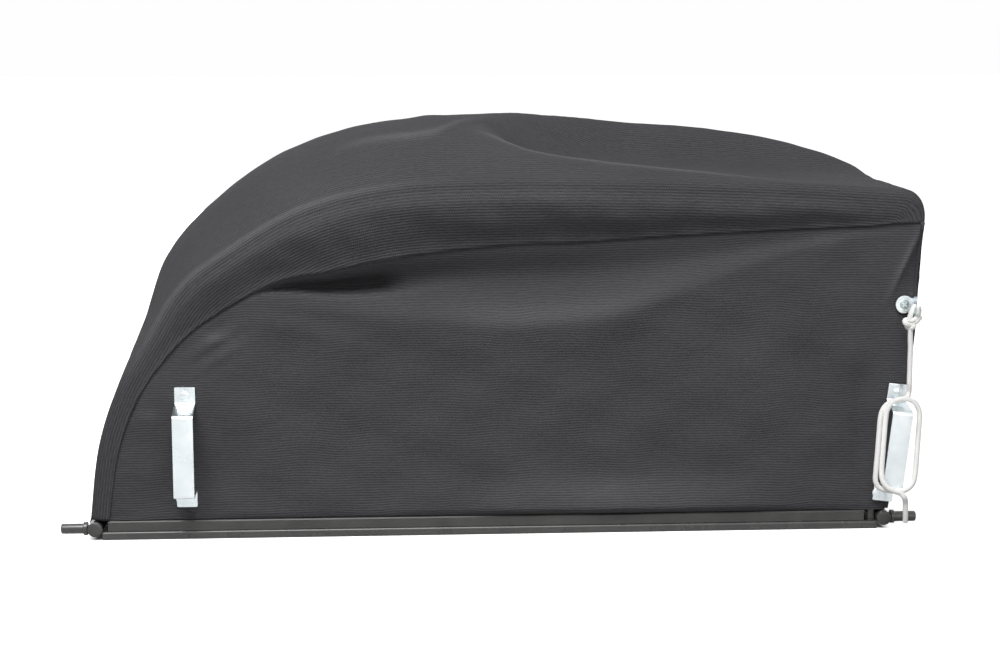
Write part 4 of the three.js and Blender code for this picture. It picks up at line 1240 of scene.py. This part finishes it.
    def _band_roll(self, share: np.ndarray, over: np.ndarray, points: np.ndarray) -> np.ndarray:
        """How the near band stands out and rolls in to its seam, as offsets in y."""
        form = self.form
        t = np.clip(over, 0.0, 1.0)
        near = over <= 2.0
        x, z = points[..., 0], points[..., 2]
        roll = self._seam_depth(x) * (1 - smoothstep(t, 0.0, 0.5))
        full = smoothstep(share, 0.1, 0.3) * smoothstep(0.765 - share, 0.0, 0.1)
        level = smoothstep(share, 0.48, 0.6)
        peak = 0.8 - 0.2 * level
        shape = smoothstep(t, 0.0, peak) * (1 - smoothstep(t, peak, 1.0))
        bulge = -(self.band_bulge - self.bulge_loss * level) * full * shape
        waves = self.ripple * full * soft_noise(share * form.length, t * 0.05, 0.10, 31)
        waves *= np.sin(math.pi * t)
        folded = -self.seam_fold * (1 - smoothstep(t * form.band_at(share), 2.5 * MM, 4.5 * MM))
        flush = self.edge_flush * smoothstep(share, form.corner_to, form.corner_to + 0.01)
        flush *= 1 - smoothstep(t, 0.0, 0.8)
        fall = self.edge_fall(x, z) * smoothstep(share, form.corner_to - 0.004, form.corner_to + 0.004)
        offset = np.zeros_like(points)
        offset[..., 1] = np.where(near, (roll + bulge + waves + folded) * (over <= 1.0) + flush + fall, 0.0)
        return offset

    def _wrap_highlights(self, share: np.ndarray, over: np.ndarray) -> np.ndarray:
        """Painted highlights on the wrap's creases: over the near hoop, along the crest and on the dome."""
        crease = swell(over, 1.55, 0.34) * smoothstep(share, 0.09, 0.16)
        crease *= smoothstep(0.43 - share, 0.0, 0.14)
        top = np.clip(over - 2.0, 0.0, 1.0)
        crest = swell(top, self.form.ridge_place_at(share), 0.016)
        crest *= smoothstep(share, 0.425, 0.455) * smoothstep(0.71 - share, 0.0, 0.14)
        streak = swell(top, self._streak_at(share), 0.024) * bump_at(share, 0.385, 0.07)
        return np.clip(0.65 * crease + (0.95 * crest + 0.6 * streak) * (over > 2.0), 0.0, 1.0)

    def _streak_at(self, share: np.ndarray) -> np.ndarray:
        """Place across the top of the bright streak that climbs the dome."""
        return KeyedValue(self.streak_keys)(share)

    def _top_relief(self, share: np.ndarray, over: np.ndarray) -> np.ndarray:
        """Small rises of the wrap along its normal."""
        top = np.clip(over - 2.0, 0.0, 1.0)
        on_top = smoothstep(over, 1.9, 2.3) * smoothstep(5.0 - over, 1.9, 2.3)
        edges = smoothstep(share, 0.03, 0.12) * smoothstep(1.0 - share, 0.03, 0.12)
        u, v = share * 1.28, top * 0.3
        broad, fine = self.top_roll
        rolling = broad * soft_noise(u, v, 0.22, 41) + fine * soft_noise(u, v, 0.06, 42)
        bow = self.bow_rise * swell(share, self.bow_share, 0.012)
        streak = self.streak_rise * swell(top, self._streak_at(share), 0.04) * bump_at(share, 0.385, 0.08)
        beside = top - self.form.ridge_place_at(share)
        crest = self.crest_rise * swell(beside, 0.0, 0.03) - self.crest_dip * swell(beside, 0.13, 0.07)
        crest *= smoothstep(share, 0.43, 0.48) * smoothstep(0.68 - share, 0.0, 0.1)
        return (rolling + bow + streak + crest) * on_top * edges

    def _slant(self, share: np.ndarray, over: np.ndarray, points: np.ndarray) -> np.ndarray:
        """Shift of the ribs where the far lobe's end pulls them down towards the corner."""
        far_side = smoothstep(over, 2.3, 2.75) * smoothstep(0.82 - share, 0.0, 0.1)
        return self.rib_pull * np.maximum(0.0, points[..., 0] - self.rib_pull_from) * far_side


@dataclass
class MouthFrame:
    """The steel frame of the mouth, its plastic clips and plugs, and the wire and posts inside."""

    steel: bpy.types.Material
    plastic: bpy.types.Material
    tube_wall: float = 1.5 * MM
    tube_lip: float = 0.4 * MM
    bore_depth: float = 12.6 * MM
    collar_length: float = 4 * MM
    collar_edge: float = 0.6 * MM
    shank: float = 5 * MM
    shank_edge: float = 0.5 * MM
    nose: float = 1.6 * MM
    spigot_step: float = 1.8 * MM
    spigot_edge: float = 0.4 * MM
    plug_head: float = 2 * MM
    plug_edge: float = 0.6 * MM

    def build(self) -> None:
        """Dresses the CAD nodes that stay and turns the round pieces anew."""
        for name in ("front_rail", "rear_rail", "front_hoop", "rear_hoop", "shoulder_bow", "crown_bow",
                     "corner_rod", "left_post", "right_post"):
            self._paint(name, self.steel)
        for name in ("front_edge_clip", "rear_edge_clip", "left_edge_clip", "right_edge_clip"):
            self._paint(name, self.plastic)
        for side in ("left", "right"):
            self._tube(side)
            self._pin(side)
            for face in ("front", "rear"):
                self._plug(side, face)

    @staticmethod
    def _paint(node: str, finish: bpy.types.Material) -> None:
        """Gives a CAD node a finish."""
        piece = bpy.data.objects[node]
        piece.data.materials.clear()
        piece.data.materials.append(finish)

    def _tube(self, side: str) -> None:
        """Turns an end tube, with its open bore behind the plug."""
        low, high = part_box(f"{side}_end_tube")
        radius = (high.x - low.x) / 2
        half = (high.y - low.y) / 2
        bore, depth, lip = radius - self.tube_wall, self.bore_depth, self.tube_lip
        profile = [(bore, depth - half), (bore, -half), (radius - lip, -half), (radius, lip - half),
                   (radius, half - lip), (radius - lip, half), (bore, half), (bore, half - depth)]
        place = Matrix.Translation(centre_of((low, high))) @ Matrix.Rotation(-math.pi / 2, 4, "X")
        piece = Bench.turned(f"{side}_tube_turned", profile, place)
        Bench.shade(piece, 35)
        Bench.dress(piece, self.steel, Slot.STEEL, f"{side}_end_tube")

    def _pin(self, side: str) -> None:
        """Turns a pivot pin with its collar and rounded end."""
        low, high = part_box(f"{side}_pivot_pin")
        centre = centre_of((low, high))
        length = high.x - low.x
        collar, shank, nose = (high.z - low.z) / 2, self.shank, self.nose
        step_at, fillet, edge = self.collar_length, self.shank_edge, self.collar_edge
        profile = [(collar - fillet, 0.0), (collar, fillet), (collar, step_at - edge),
                   (collar - edge, step_at), (shank + fillet, step_at), (shank, step_at + fillet),
                   (shank, length - nose)]
        steps = 5
        for step in range(1, steps + 1):
            angle = step / steps * math.pi / 2
            profile.append((shank - nose + nose * math.cos(angle), length - nose + nose * math.sin(angle)))
        turn = math.pi / 2 if side == "right" else -math.pi / 2
        start = low.x if side == "right" else high.x
        place = Matrix.Translation((start, centre.y, centre.z)) @ Matrix.Rotation(turn, 4, "Y")
        piece = Bench.turned(f"{side}_pin_turned", profile, place)
        Bench.shade(piece, 40)
        Bench.dress(piece, self.steel, Slot.STEEL, f"{side}_pivot_pin")

    def _plug(self, side: str, face: str) -> None:
        """Turns a tube plug with a domed head."""
        node = f"{side}_{face}_tube_plug"
        low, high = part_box(node)
        centre = centre_of((low, high))
        length = high.y - low.y
        radius = (high.x - low.x) / 2
        spigot, head, bevel = radius - self.spigot_step, self.plug_head, self.spigot_edge
        profile = [(spigot - bevel, 0.0), (spigot, bevel), (spigot, length - head), (radius, length - head),
                   (radius, length - head * 0.55), (radius - self.plug_edge, length - head * 0.3),
                   (radius - 2.5 * MM, length - 0.1 * MM), (radius - 4 * MM, length)]
        out = -1.0 if face == "front" else 1.0
        start = high.y if face == "front" else low.y
        place = Matrix.Translation((centre.x, start, centre.z)) @ Matrix.Rotation(-out * math.pi / 2, 4, "X")
        piece = Bench.turned(f"{node}_turned", profile, place)
        Bench.shade(piece, 40)
        Bench.dress(piece, self.plastic, Slot.PLASTIC, node)


@dataclass
class LoopFittings:
    """The two folded loops of zinc plated strip and their rivets."""

    form: BagForm
    zinc: bpy.types.Material
    width: float = 19.5 * MM
    sheet: float = 2 * MM
    reach: float = 32 * MM
    bend: float = 3.5 * MM
    half_height: float = 58 * MM
    tab: float = 16.8 * MM
    strap_top: float = 35 * MM
    strap_bottom: float = -42.5 * MM
    foot: float = 16.7 * MM
    left_centre: Pair = (-292.5 * MM, 89.3 * MM)
    right_centre: Pair = (384.49 * MM, 85.5 * MM)
    right_lean: float = math.radians(6.5)

    def build(self) -> None:
        """Makes both loops and the rivets of both."""
        self._loop("left", self.left_centre, 0.0, self.form.panel_seat)
        self._loop("right", self.right_centre, self.right_lean, self.form.band_seat)
        for side in ("left", "right"):
            for spot in ("tab", "foot"):
                self.rivet(f"{side}_{spot}_rivet", self.zinc)

    def _loop(self, side: str, centre: Pair, lean: float, seat: float) -> None:
        """Folds a loop from strip.

        Args:
            side: left or right.
            centre: Its middle, in x and z.
            lean: How far its top leans to the right.
            seat: Where its back face lies, in y.
        """
        half = self.sheet / 2
        corners = [(self.half_height, half), (self.half_height - self.tab, half),
                   (self.strap_top, self.reach - half), (self.strap_bottom, self.reach - half),
                   (self.foot - self.half_height, half), (-self.half_height, half)]
        upright = Matrix(((1, 0, 0, 0), (0, 0, -1, 0), (0, 1, 0, 0), (0, 0, 0, 1)))
        place = Matrix.Translation((centre[0], seat, centre[1])) @ Matrix.Rotation(lean, 4, "Y") @ upright
        piece = Bench.folded_strip(f"{side}_loop_folded", corners, self.width, self.sheet, self.bend,
                                   1.2 * MM, place)
        Bench.soften(piece, 0.3 * MM)
        Bench.dress(piece, self.zinc, Slot.ZINC, f"{side}_loop")

    @staticmethod
    def rivet(node: str, finish: bpy.types.Material, cross: bool = False) -> None:
        """Turns a domed rivet in the place of its node.

        Args:
            node: The CAD node that it replaces.
            finish: Its material.
            cross: Whether its head has a cross recess.
        """
        low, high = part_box(node)
        centre = centre_of((low, high))
        radius, shank, dome = (high.x - low.x) / 2, 2.2 * MM, 2.2 * MM
        length = high.y - low.y
        curved = 0.85 * dome
        profile = [(shank, 0.0), (shank, length - dome), (radius - 0.2 * MM, length - dome),
                   (radius, length - curved)]
        steps = 8
        for step in range(1, steps):
            angle = step / steps * math.pi / 2
            profile.append((radius * math.cos(angle), length - curved * (1 - math.sin(angle))))
        place = Matrix.Translation((centre.x, high.y, centre.z)) @ Matrix.Rotation(math.pi / 2, 4, "X")
        piece = Bench.turned(f"{node}_domed", profile, place, 40)
        if cross:
            slot = Matrix.Diagonal((6.4 * MM, 3.2 * MM, 1.5 * MM, 1.0))
            for angle in (math.radians(38), math.radians(128)):
                Bench.clear()
                bpy.ops.mesh.primitive_cube_add(size=1.0)
                tool = bpy.context.object
                shape = Matrix.Rotation(angle, 4, "Y") @ slot
                tool.data.transform(Matrix.Translation((centre.x, low.y, centre.z)) @ shape)
                Bench.cut(piece, tool)
        Bench.shade(piece, 30)
        Bench.dress(piece, finish, Slot.ZINC, node)


@dataclass
class CordLug:
    """The lug of the pull cord: a round ear on the cloth, folded to an ear that stands out."""

    form: BagForm
    zinc: bpy.types.Material
    dull_zinc: bpy.types.Material
    disc_radius: float = 8.5 * MM
    sheet: float = 2 * MM
    ear_offset: float = 8 * MM
    ear_reach: float = 22 * MM
    ear_radius: float = 9 * MM
    neck: float = 12 * MM
    hole: float = 4.6 * MM
    sides: int = 56
    centre: Pair = (394.03 * MM, 220.5 * MM)

    def build(self) -> None:
        """Joins the two ears and the neck, and turns the rivet."""
        x, z = self.centre
        seat = self.form.band_seat
        half = self.sheet / 2
        outwards = Matrix.Rotation(math.pi / 2, 4, "X")
        lug = Bench.turned("cord_lug_folded", [(self.disc_radius, 0.0), (self.disc_radius, self.sheet)],
                           Matrix.Translation((x, seat, z)) @ outwards, self.sides)
        along = Matrix(((0, -1, 0, 0), (0, 0, -1, 0), (1, 0, 0, 0), (0, 0, 0, 1)))
        corners = [(0.0, half), (-self.ear_offset, half),
                   (-self.ear_offset, self.ear_reach - self.ear_radius)]
        neck = Bench.folded_strip("neck", corners, self.neck, self.sheet, 2.5 * MM, 0.3 * MM,
                                  Matrix.Translation((x, seat, z)) @ along)
        ear_at = Vector((x + self.ear_offset, seat - self.ear_reach + self.ear_radius, z))
        sideways = Matrix.Translation(ear_at) @ Matrix.Rotation(math.pi / 2, 4, "Y")
        ear = Bench.turned("ear", [(self.ear_radius, -half), (self.ear_radius, half)], sideways, self.sides)
        Bench.cut(lug, neck, "UNION")
        Bench.cut(lug, ear, "UNION")
        eye = Bench.turned("eye", [(self.hole, -2 * self.sheet), (self.hole, 2 * self.sheet)], sideways, 40)
        Bench.cut(lug, eye)
        Bench.soften(lug, 0.25 * MM)
        Bench.dress(lug, self.zinc, Slot.ZINC, "cord_lug")
        LoopFittings.rivet("lug_rivet", self.dull_zinc, cross=True)


@dataclass
class PullCord:
    """The pull cord: a loop and knot on the lug, a drop, the turns round the right loop and a free end."""

    form: BagForm
    finish: bpy.types.Material
    diameter: float = 5 * MM
    knot_centre: Point = (397, 204.3, 15)
    knot_size: tuple[float, float, float] = (15.5 * MM, 13 * MM, 10 * MM)
    knot_end: Sequence[Point] = ((5.5, -1.5, 1.5), (8.5, 0.2, 4.4), (11.2, 1.0, 5.8))
    drop: Sequence[Point] = ((397.3, 200.0, 15), (397.6, 190, 15), (398, 180, 15.2), (397.9, 168, 15.6),
                             (397.8, 156, 16.2), (397.5, 146, 17.2))
    # Turns round the right loop: across, up and out from the middle of the hank
    turns: Sequence[Point] = (
        (7.4, 52.5, -2.4), (6.4, 47.2, -2.7), (2.4, 43.4, -2.8), (-4, 42.2, -2.6), (-11, 39.6, -1.9),
        (-16.6, 33.5, -0.9), (-18.9, 25, 0), (-19.1, 8, 0), (-19.1, -10, 0), (-19.2, -26, -0.4),
        (-18.4, -36, -1.4), (-14.2, -41.8, -2.5), (-6, -43.6, -2.8), (4, -43.4, -2.6), (12.2, -41, -1.6),
        (17.6, -34.6, -0.6), (19, -25, 0), (19.1, -8, 0), (19.1, 10, 0), (18.9, 26, 0.2), (17.6, 35.2, 0.9),
        (13, 41.8, 1.9), (6, 44.6, 2.6), (-2, 44.0, 2.8), (-8.8, 40.6, 2.4), (-12.9, 34, 1.3),
        (-13.9, 25, 0.3), (-14, 8, 0), (-14, -10, 0), (-13.9, -25, 0.4), (-12.6, -34.4, 1.5),
        (-8.2, -40.6, 2.6), (-1.5, -43.8, 3), (5.2, -45.4, 3), (9.6, -49.2, 2.6))
    tail: Sequence[Point] = ((391.4, 35, 39.2), (392.0, 27, 38.2), (392.5, 20, 36.8), (392.9, 13.6, 35.2))
    hank_rise: float = 3.1 * MM
    hank_reach: float = 28.5 * MM
    hank_tilt: float = math.radians(13.4)
    eye: Sequence[Point] = ((395.2, 205, 16.5), (396.4, 210.5, 16.2), (398.4, 216.2, 15.8),
                            (400.6, 219.8, 15.4), (403.0, 220.4, 15.2), (405.0, 217.8, 15.0),
                            (404.8, 213.2, 14.9), (402.2, 208.2, 15.2), (399.2, 204.6, 15.6))

    def build(self, loops: LoopFittings) -> None:
        """Lays the cord and its knot.

        Args:
            loops: The folded loops, which the hank is wound round.
        """
        route = [self._from_panel(point) for point in self.drop]
        route += [self._from_hank(point, loops) for point in self.turns]
        route += [self._from_panel(point) for point in self.tail]
        line = self.smooth_line(route, 14)
        cord = self.swept("pull_cord", line, self.diameter / 2)
        Bench.dress(cord, self.finish, Slot.CORD, "cord_drop", "cord_hank", "cord_tail")
        knot = self._knot()

    def _from_panel(self, point: Point) -> Vector:
        """A point given as x, z and the distance in front of the near panel, in millimetres."""
        x, z, reach = (value * MM for value in point)
        return Vector((x, self.form.middle + self.form.near_plane - reach, z))

    def _from_hank(self, point: Point, loops: LoopFittings) -> Vector:
        """A point given in the hank's own frame, in millimetres."""
        across, up, out = (value * MM for value in point)
        x, z = loops.right_centre
        middle = Matrix.Translation((x, self.form.band_seat - self.hank_reach, z))
        lean = Matrix.Rotation(loops.right_lean, 4, "Y")
        tilt = Matrix.Rotation(math.pi / 2 - self.hank_tilt, 4, "X")
        return middle @ lean @ tilt @ Vector((across, up + self.hank_rise, out))

    @staticmethod
    def smooth_line(route: Sequence[Vector], steps: int) -> np.ndarray:
        """A smooth line through chosen points, with even steps.

        Args:
            route: The chosen points.
            steps: Points to each stretch.

        Returns:
            The line's points.
        """
        points = np.array([tuple(p) for p in route])
        points = np.concatenate([[2 * points[0] - points[1]], points, [2 * points[-1] - points[-2]]])
        found = []
        for i in range(1, len(points) - 2):
            p0, p1, p2, p3 = points[i - 1:i + 3]
            gaps = [math.sqrt(max(np.linalg.norm(b - a), 1e-9)) for a, b in ((p0, p1), (p1, p2), (p2, p3))]
            m1 = (p2 - p0) / (gaps[0] + gaps[1]) * gaps[1]
            m2 = (p3 - p1) / (gaps[1] + gaps[2]) * gaps[1]
            for step in range(steps):
                t = step / steps
                found.append((2 * t ** 3 - 3 * t ** 2 + 1) * p1 + (t ** 3 - 2 * t ** 2 + t) * m1
                             + (3 * t ** 2 - 2 * t ** 3) * p2 + (t ** 3 - t ** 2) * m2)
        found.append(points[-2])
        line = np.array(found)
        along = distances_along(line)
        at = np.linspace(0.0, along[-1], max(8, int(along[-1] / (0.9 * MM))))
        return np.stack([np.interp(at, along, line[:, k]) for k in range(3)], axis=1)

    @staticmethod
    def swept(name: str, line: np.ndarray, radius: float, sides: int = 20) -> bpy.types.Object:
        """A closed tube round a line, with rounded ends and a UV map in metres.

        Args:
            name: The piece's name.
            line: Points of the centre line.
            radius: Radius of the tube.
            sides: Faces round it.

        Returns:
            The new object.
        """
        tangent = np.gradient(line, axis=0)
        tangent /= np.linalg.norm(tangent, axis=1)[:, None]
        first = np.cross(tangent[0], (0.0, 1.0, 0.0))
        first /= np.linalg.norm(first)
        sideways = [first]
        for t in tangent[1:]:
            flat = sideways[-1] - t * np.dot(sideways[-1], t)
            sideways.append(flat / np.linalg.norm(flat))
        side = np.array(sideways)
        other = np.cross(tangent, side)
        along = distances_along(line)
        end = np.minimum(along, along[-1] - along) / (0.45 * radius)
        swell = radius * np.sqrt(np.clip(1.0 - (1.0 - np.clip(end, 0.0, 1.0)) ** 2, 0.12, 1.0))
        angle = np.linspace(0.0, 2.0 * math.pi, sides, endpoint=False)
        ring = side[:, None] * np.cos(angle)[None, :, None] + other[:, None] * np.sin(angle)[None, :, None]
        points = line[:, None] + ring * swell[:, None, None]
        count = len(line)
        index = np.arange(count * sides).reshape(count, sides)
        over = np.roll(index, -1, axis=1)
        faces = np.stack([index[:-1], over[:-1], over[1:], index[1:]], axis=-1).reshape(-1, 4).tolist()
        faces += [index[0, ::-1].tolist(), index[-1].tolist()]
        around = np.arange(sides) / sides * 2.0 * math.pi * radius
        weave = np.stack(np.broadcast_arrays(around[None, :], along[:, None]), axis=-1)
        piece = Bench.from_faces(name, points, faces, {"Weave": weave})
        Bench.activate(piece)
        bpy.ops.object.shade_smooth()
        return piece

    def _knot(self) -> bpy.types.Object:
        """The knot, with the loop through the lug's eye and a short cut end."""
        radius = self.diameter / 2
        through = [self._from_panel(point) for point in self.eye]
        eye = self.swept("cord_knot_tied", self.smooth_line(through, 10), radius)
        centre = self._from_panel(self.knot_centre)
        turns = np.linspace(0.35, 2.0 * math.pi - 0.2, 60)
        half = [size / 2 - radius for size in self.knot_size]
        # Reach of the trefoil's own sine and cosine sums
        trefoil, sag = 2.6, 0.4 * MM
        route = [centre + Vector((half[0] / trefoil * (math.sin(t) + 2 * math.sin(2 * t)),
                                  half[2] * math.sin(3 * t) * 0.9,
                                  half[1] / trefoil * (math.cos(t) - 2 * math.cos(2 * t)) - sag))
                 for t in turns]
        route += [centre + Vector(point) * MM for point in self.knot_end]
        tied = self.swept("tied", self.smooth_line(route, 4), radius * 0.96)
        Bench.activate(eye)
        tied.select_set(True)
        bpy.ops.object.join()
        Bench.dress(eye, self.finish, Slot.CORD, "cord_knot")
        return eye


@dataclass
class Studio:
    """Floor, light and camera."""

    focal: float = 72.0
    sensor: float = 36.0
    distance: float = 1.9
    forward: tuple[float, float, float] = (0.0603, 0.98584, -0.15643)
    right: tuple[float, float, float] = (0.99813, -0.06105, 0.0)
    up: tuple[float, float, float] = (0.00955, 0.15614, 0.98769)
    target: Pair = (6 * MM, 195.5 * MM)
    band_lap: float = 1.8 * MM
    # Name, place, side and power in watts of each lamp
    lamps: Sequence[tuple[str, Point, float, float]] = (
        ("key", (-0.45, -1.35, 2.15), 1.5, 58.0), ("fill", (1.2, -3.2, 1.3), 2.0, 12.0),
        ("back", (-0.3, 3.0, 0.9), 1.8, 26.0))
    lamp_target: Point = (0.0, 0.0, 0.15)
    floor_size: float = 30.0
    world_light: float = 0.17
    white: float = 0.991
    floor_glow: float = 0.88
    # Floor as it lights the bag, and as it is seen
    floor_greys: Pair = (0.45, 0.95)
    shade_fade: float = 7 * MM

    def camera(self) -> None:
        """Places the camera where the photograph was taken from."""
        near_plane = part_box("wrap_panel")[0].y + self.band_lap
        camera = bpy.data.cameras.new("Camera")
        camera.lens = self.focal
        camera.sensor_width = self.sensor
        camera.clip_end = 100.0
        holder = bpy.data.objects.new("Camera", camera)
        bpy.context.scene.collection.objects.link(holder)
        forward = Vector(self.forward)
        eye = Vector((self.target[0], near_plane, self.target[1])) - self.distance * forward
        turn = Matrix((self.right, self.up, tuple(-forward))).transposed()
        holder.matrix_world = Matrix.Translation(eye) @ turn.to_4x4()
        bpy.context.scene.camera = holder

    def light(self) -> None:
        """Sets soft studio light: a pale world, a wide lamp above and weak ones in front and behind."""
        scene = bpy.context.scene
        scene.view_settings.view_transform = "Standard"
        world = bpy.data.worlds.new("studio")
        scene.world = world
        world.use_nodes = True
        nodes = Nodes(world.node_tree)
        background = world.node_tree.nodes["Background"]
        seen = nodes.seen_rays(nodes.add("LightPath"))
        nodes.put(nodes.ranged(seen, 0.0, 1.0, self.world_light, self.white), background.inputs["Strength"])
        background.inputs["Color"].default_value = (1.0, 1.0, 1.0, 1.0)
        for lamp in self.lamps:
            self._lamp(*lamp)

    def _lamp(self, name: str, place: Point, size: float, power: float) -> None:
        """A square lamp that faces the bag.

        Args:
            name: The lamp's name.
            place: Where it hangs.
            size: Its side.
            power: Its power in watts.
        """
        lamp = bpy.data.lights.new(name, "AREA")
        lamp.shape = "SQUARE"
        lamp.size = size
        lamp.energy = power
        holder = bpy.data.objects.new(name, lamp)
        holder.location = place
        towards = Vector(self.lamp_target) - Vector(place)
        holder.rotation_euler = towards.to_track_quat("-Z", "Y").to_euler()
        bpy.context.scene.collection.objects.link(holder)

    def _beside_bag(self, nodes: Nodes) -> bpy.types.NodeSocket:
        """A mask that is 1 on the floor beside the bag and 0 under its mouth: the glow is left out there as
        a painted shadow.
        """
        split = nodes.add("SeparateXYZ")
        nodes.put(nodes.add("TexCoord").outputs["Object"], split.inputs[0])
        low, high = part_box("left_end_tube")
        reach = (-low.x, (high.y - low.y) / 2)
        middle = (0.0, (high.y + low.y) / 2)
        inside = []
        for label, half, centre in zip("XY", reach, middle):
            offset = nodes.math("ABSOLUTE", nodes.math("SUBTRACT", split.outputs[label], centre))
            inside.append(nodes.ranged(offset, half - self.shade_fade, half, 1.0, 0.0))
        return nodes.math("SUBTRACT", 1.0, nodes.math("MULTIPLY", *inside))

    def floor(self) -> None:
        """Lays a plain white floor that takes the bag's shadow."""
        Bench.clear()
        bpy.ops.mesh.primitive_plane_add(size=self.floor_size)
        floor = bpy.context.object
        floor.name = "studio_floor"
        material, nodes, shader = new_material("floor_white")
        path = nodes.add("LightPath")
        shades = [(grey, grey, grey, 1.0) for grey in self.floor_greys]
        nodes.put(nodes.mix(nodes.seen_rays(path), *shades), shader.inputs["Base Color"])
        glow = nodes.math("MULTIPLY", path.outputs["Is Camera Ray"], self._beside_bag(nodes))
        nodes.put(nodes.math("MULTIPLY", glow, self.floor_glow), shader.inputs["Emission Strength"])
        nodes.fill(shader, Emission_Color=(1.0, 1.0, 1.0, 1.0), Roughness=0.9, Specular_IOR_Level=0.0)
        floor.data.materials.append(material)


def main() -> None:
    """Builds the looks round the frame."""
    logging.basicConfig(level=logging.INFO, format="%(message)s")
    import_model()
    studio = Studio()
    studio.camera()
    effects = Effects()
    zinc = ZINC.build(effects)
    form = BagForm()
    loops = LoopFittings(form, zinc)
    PullCord(form, CordFinish("white_cord").build()).build(loops)
    loops.build()
    CordLug(form, zinc, DULL_ZINC.build(effects)).build()
    MouthFrame(STEEL.build(effects), PLASTIC.build(effects)).build()
    ClothShell(form, PANEL_CLOTH.build(effects), WRAP_CLOTH.build(effects)).build()
    studio.light()
    studio.floor()


if __name__ == "__main__":
    main()
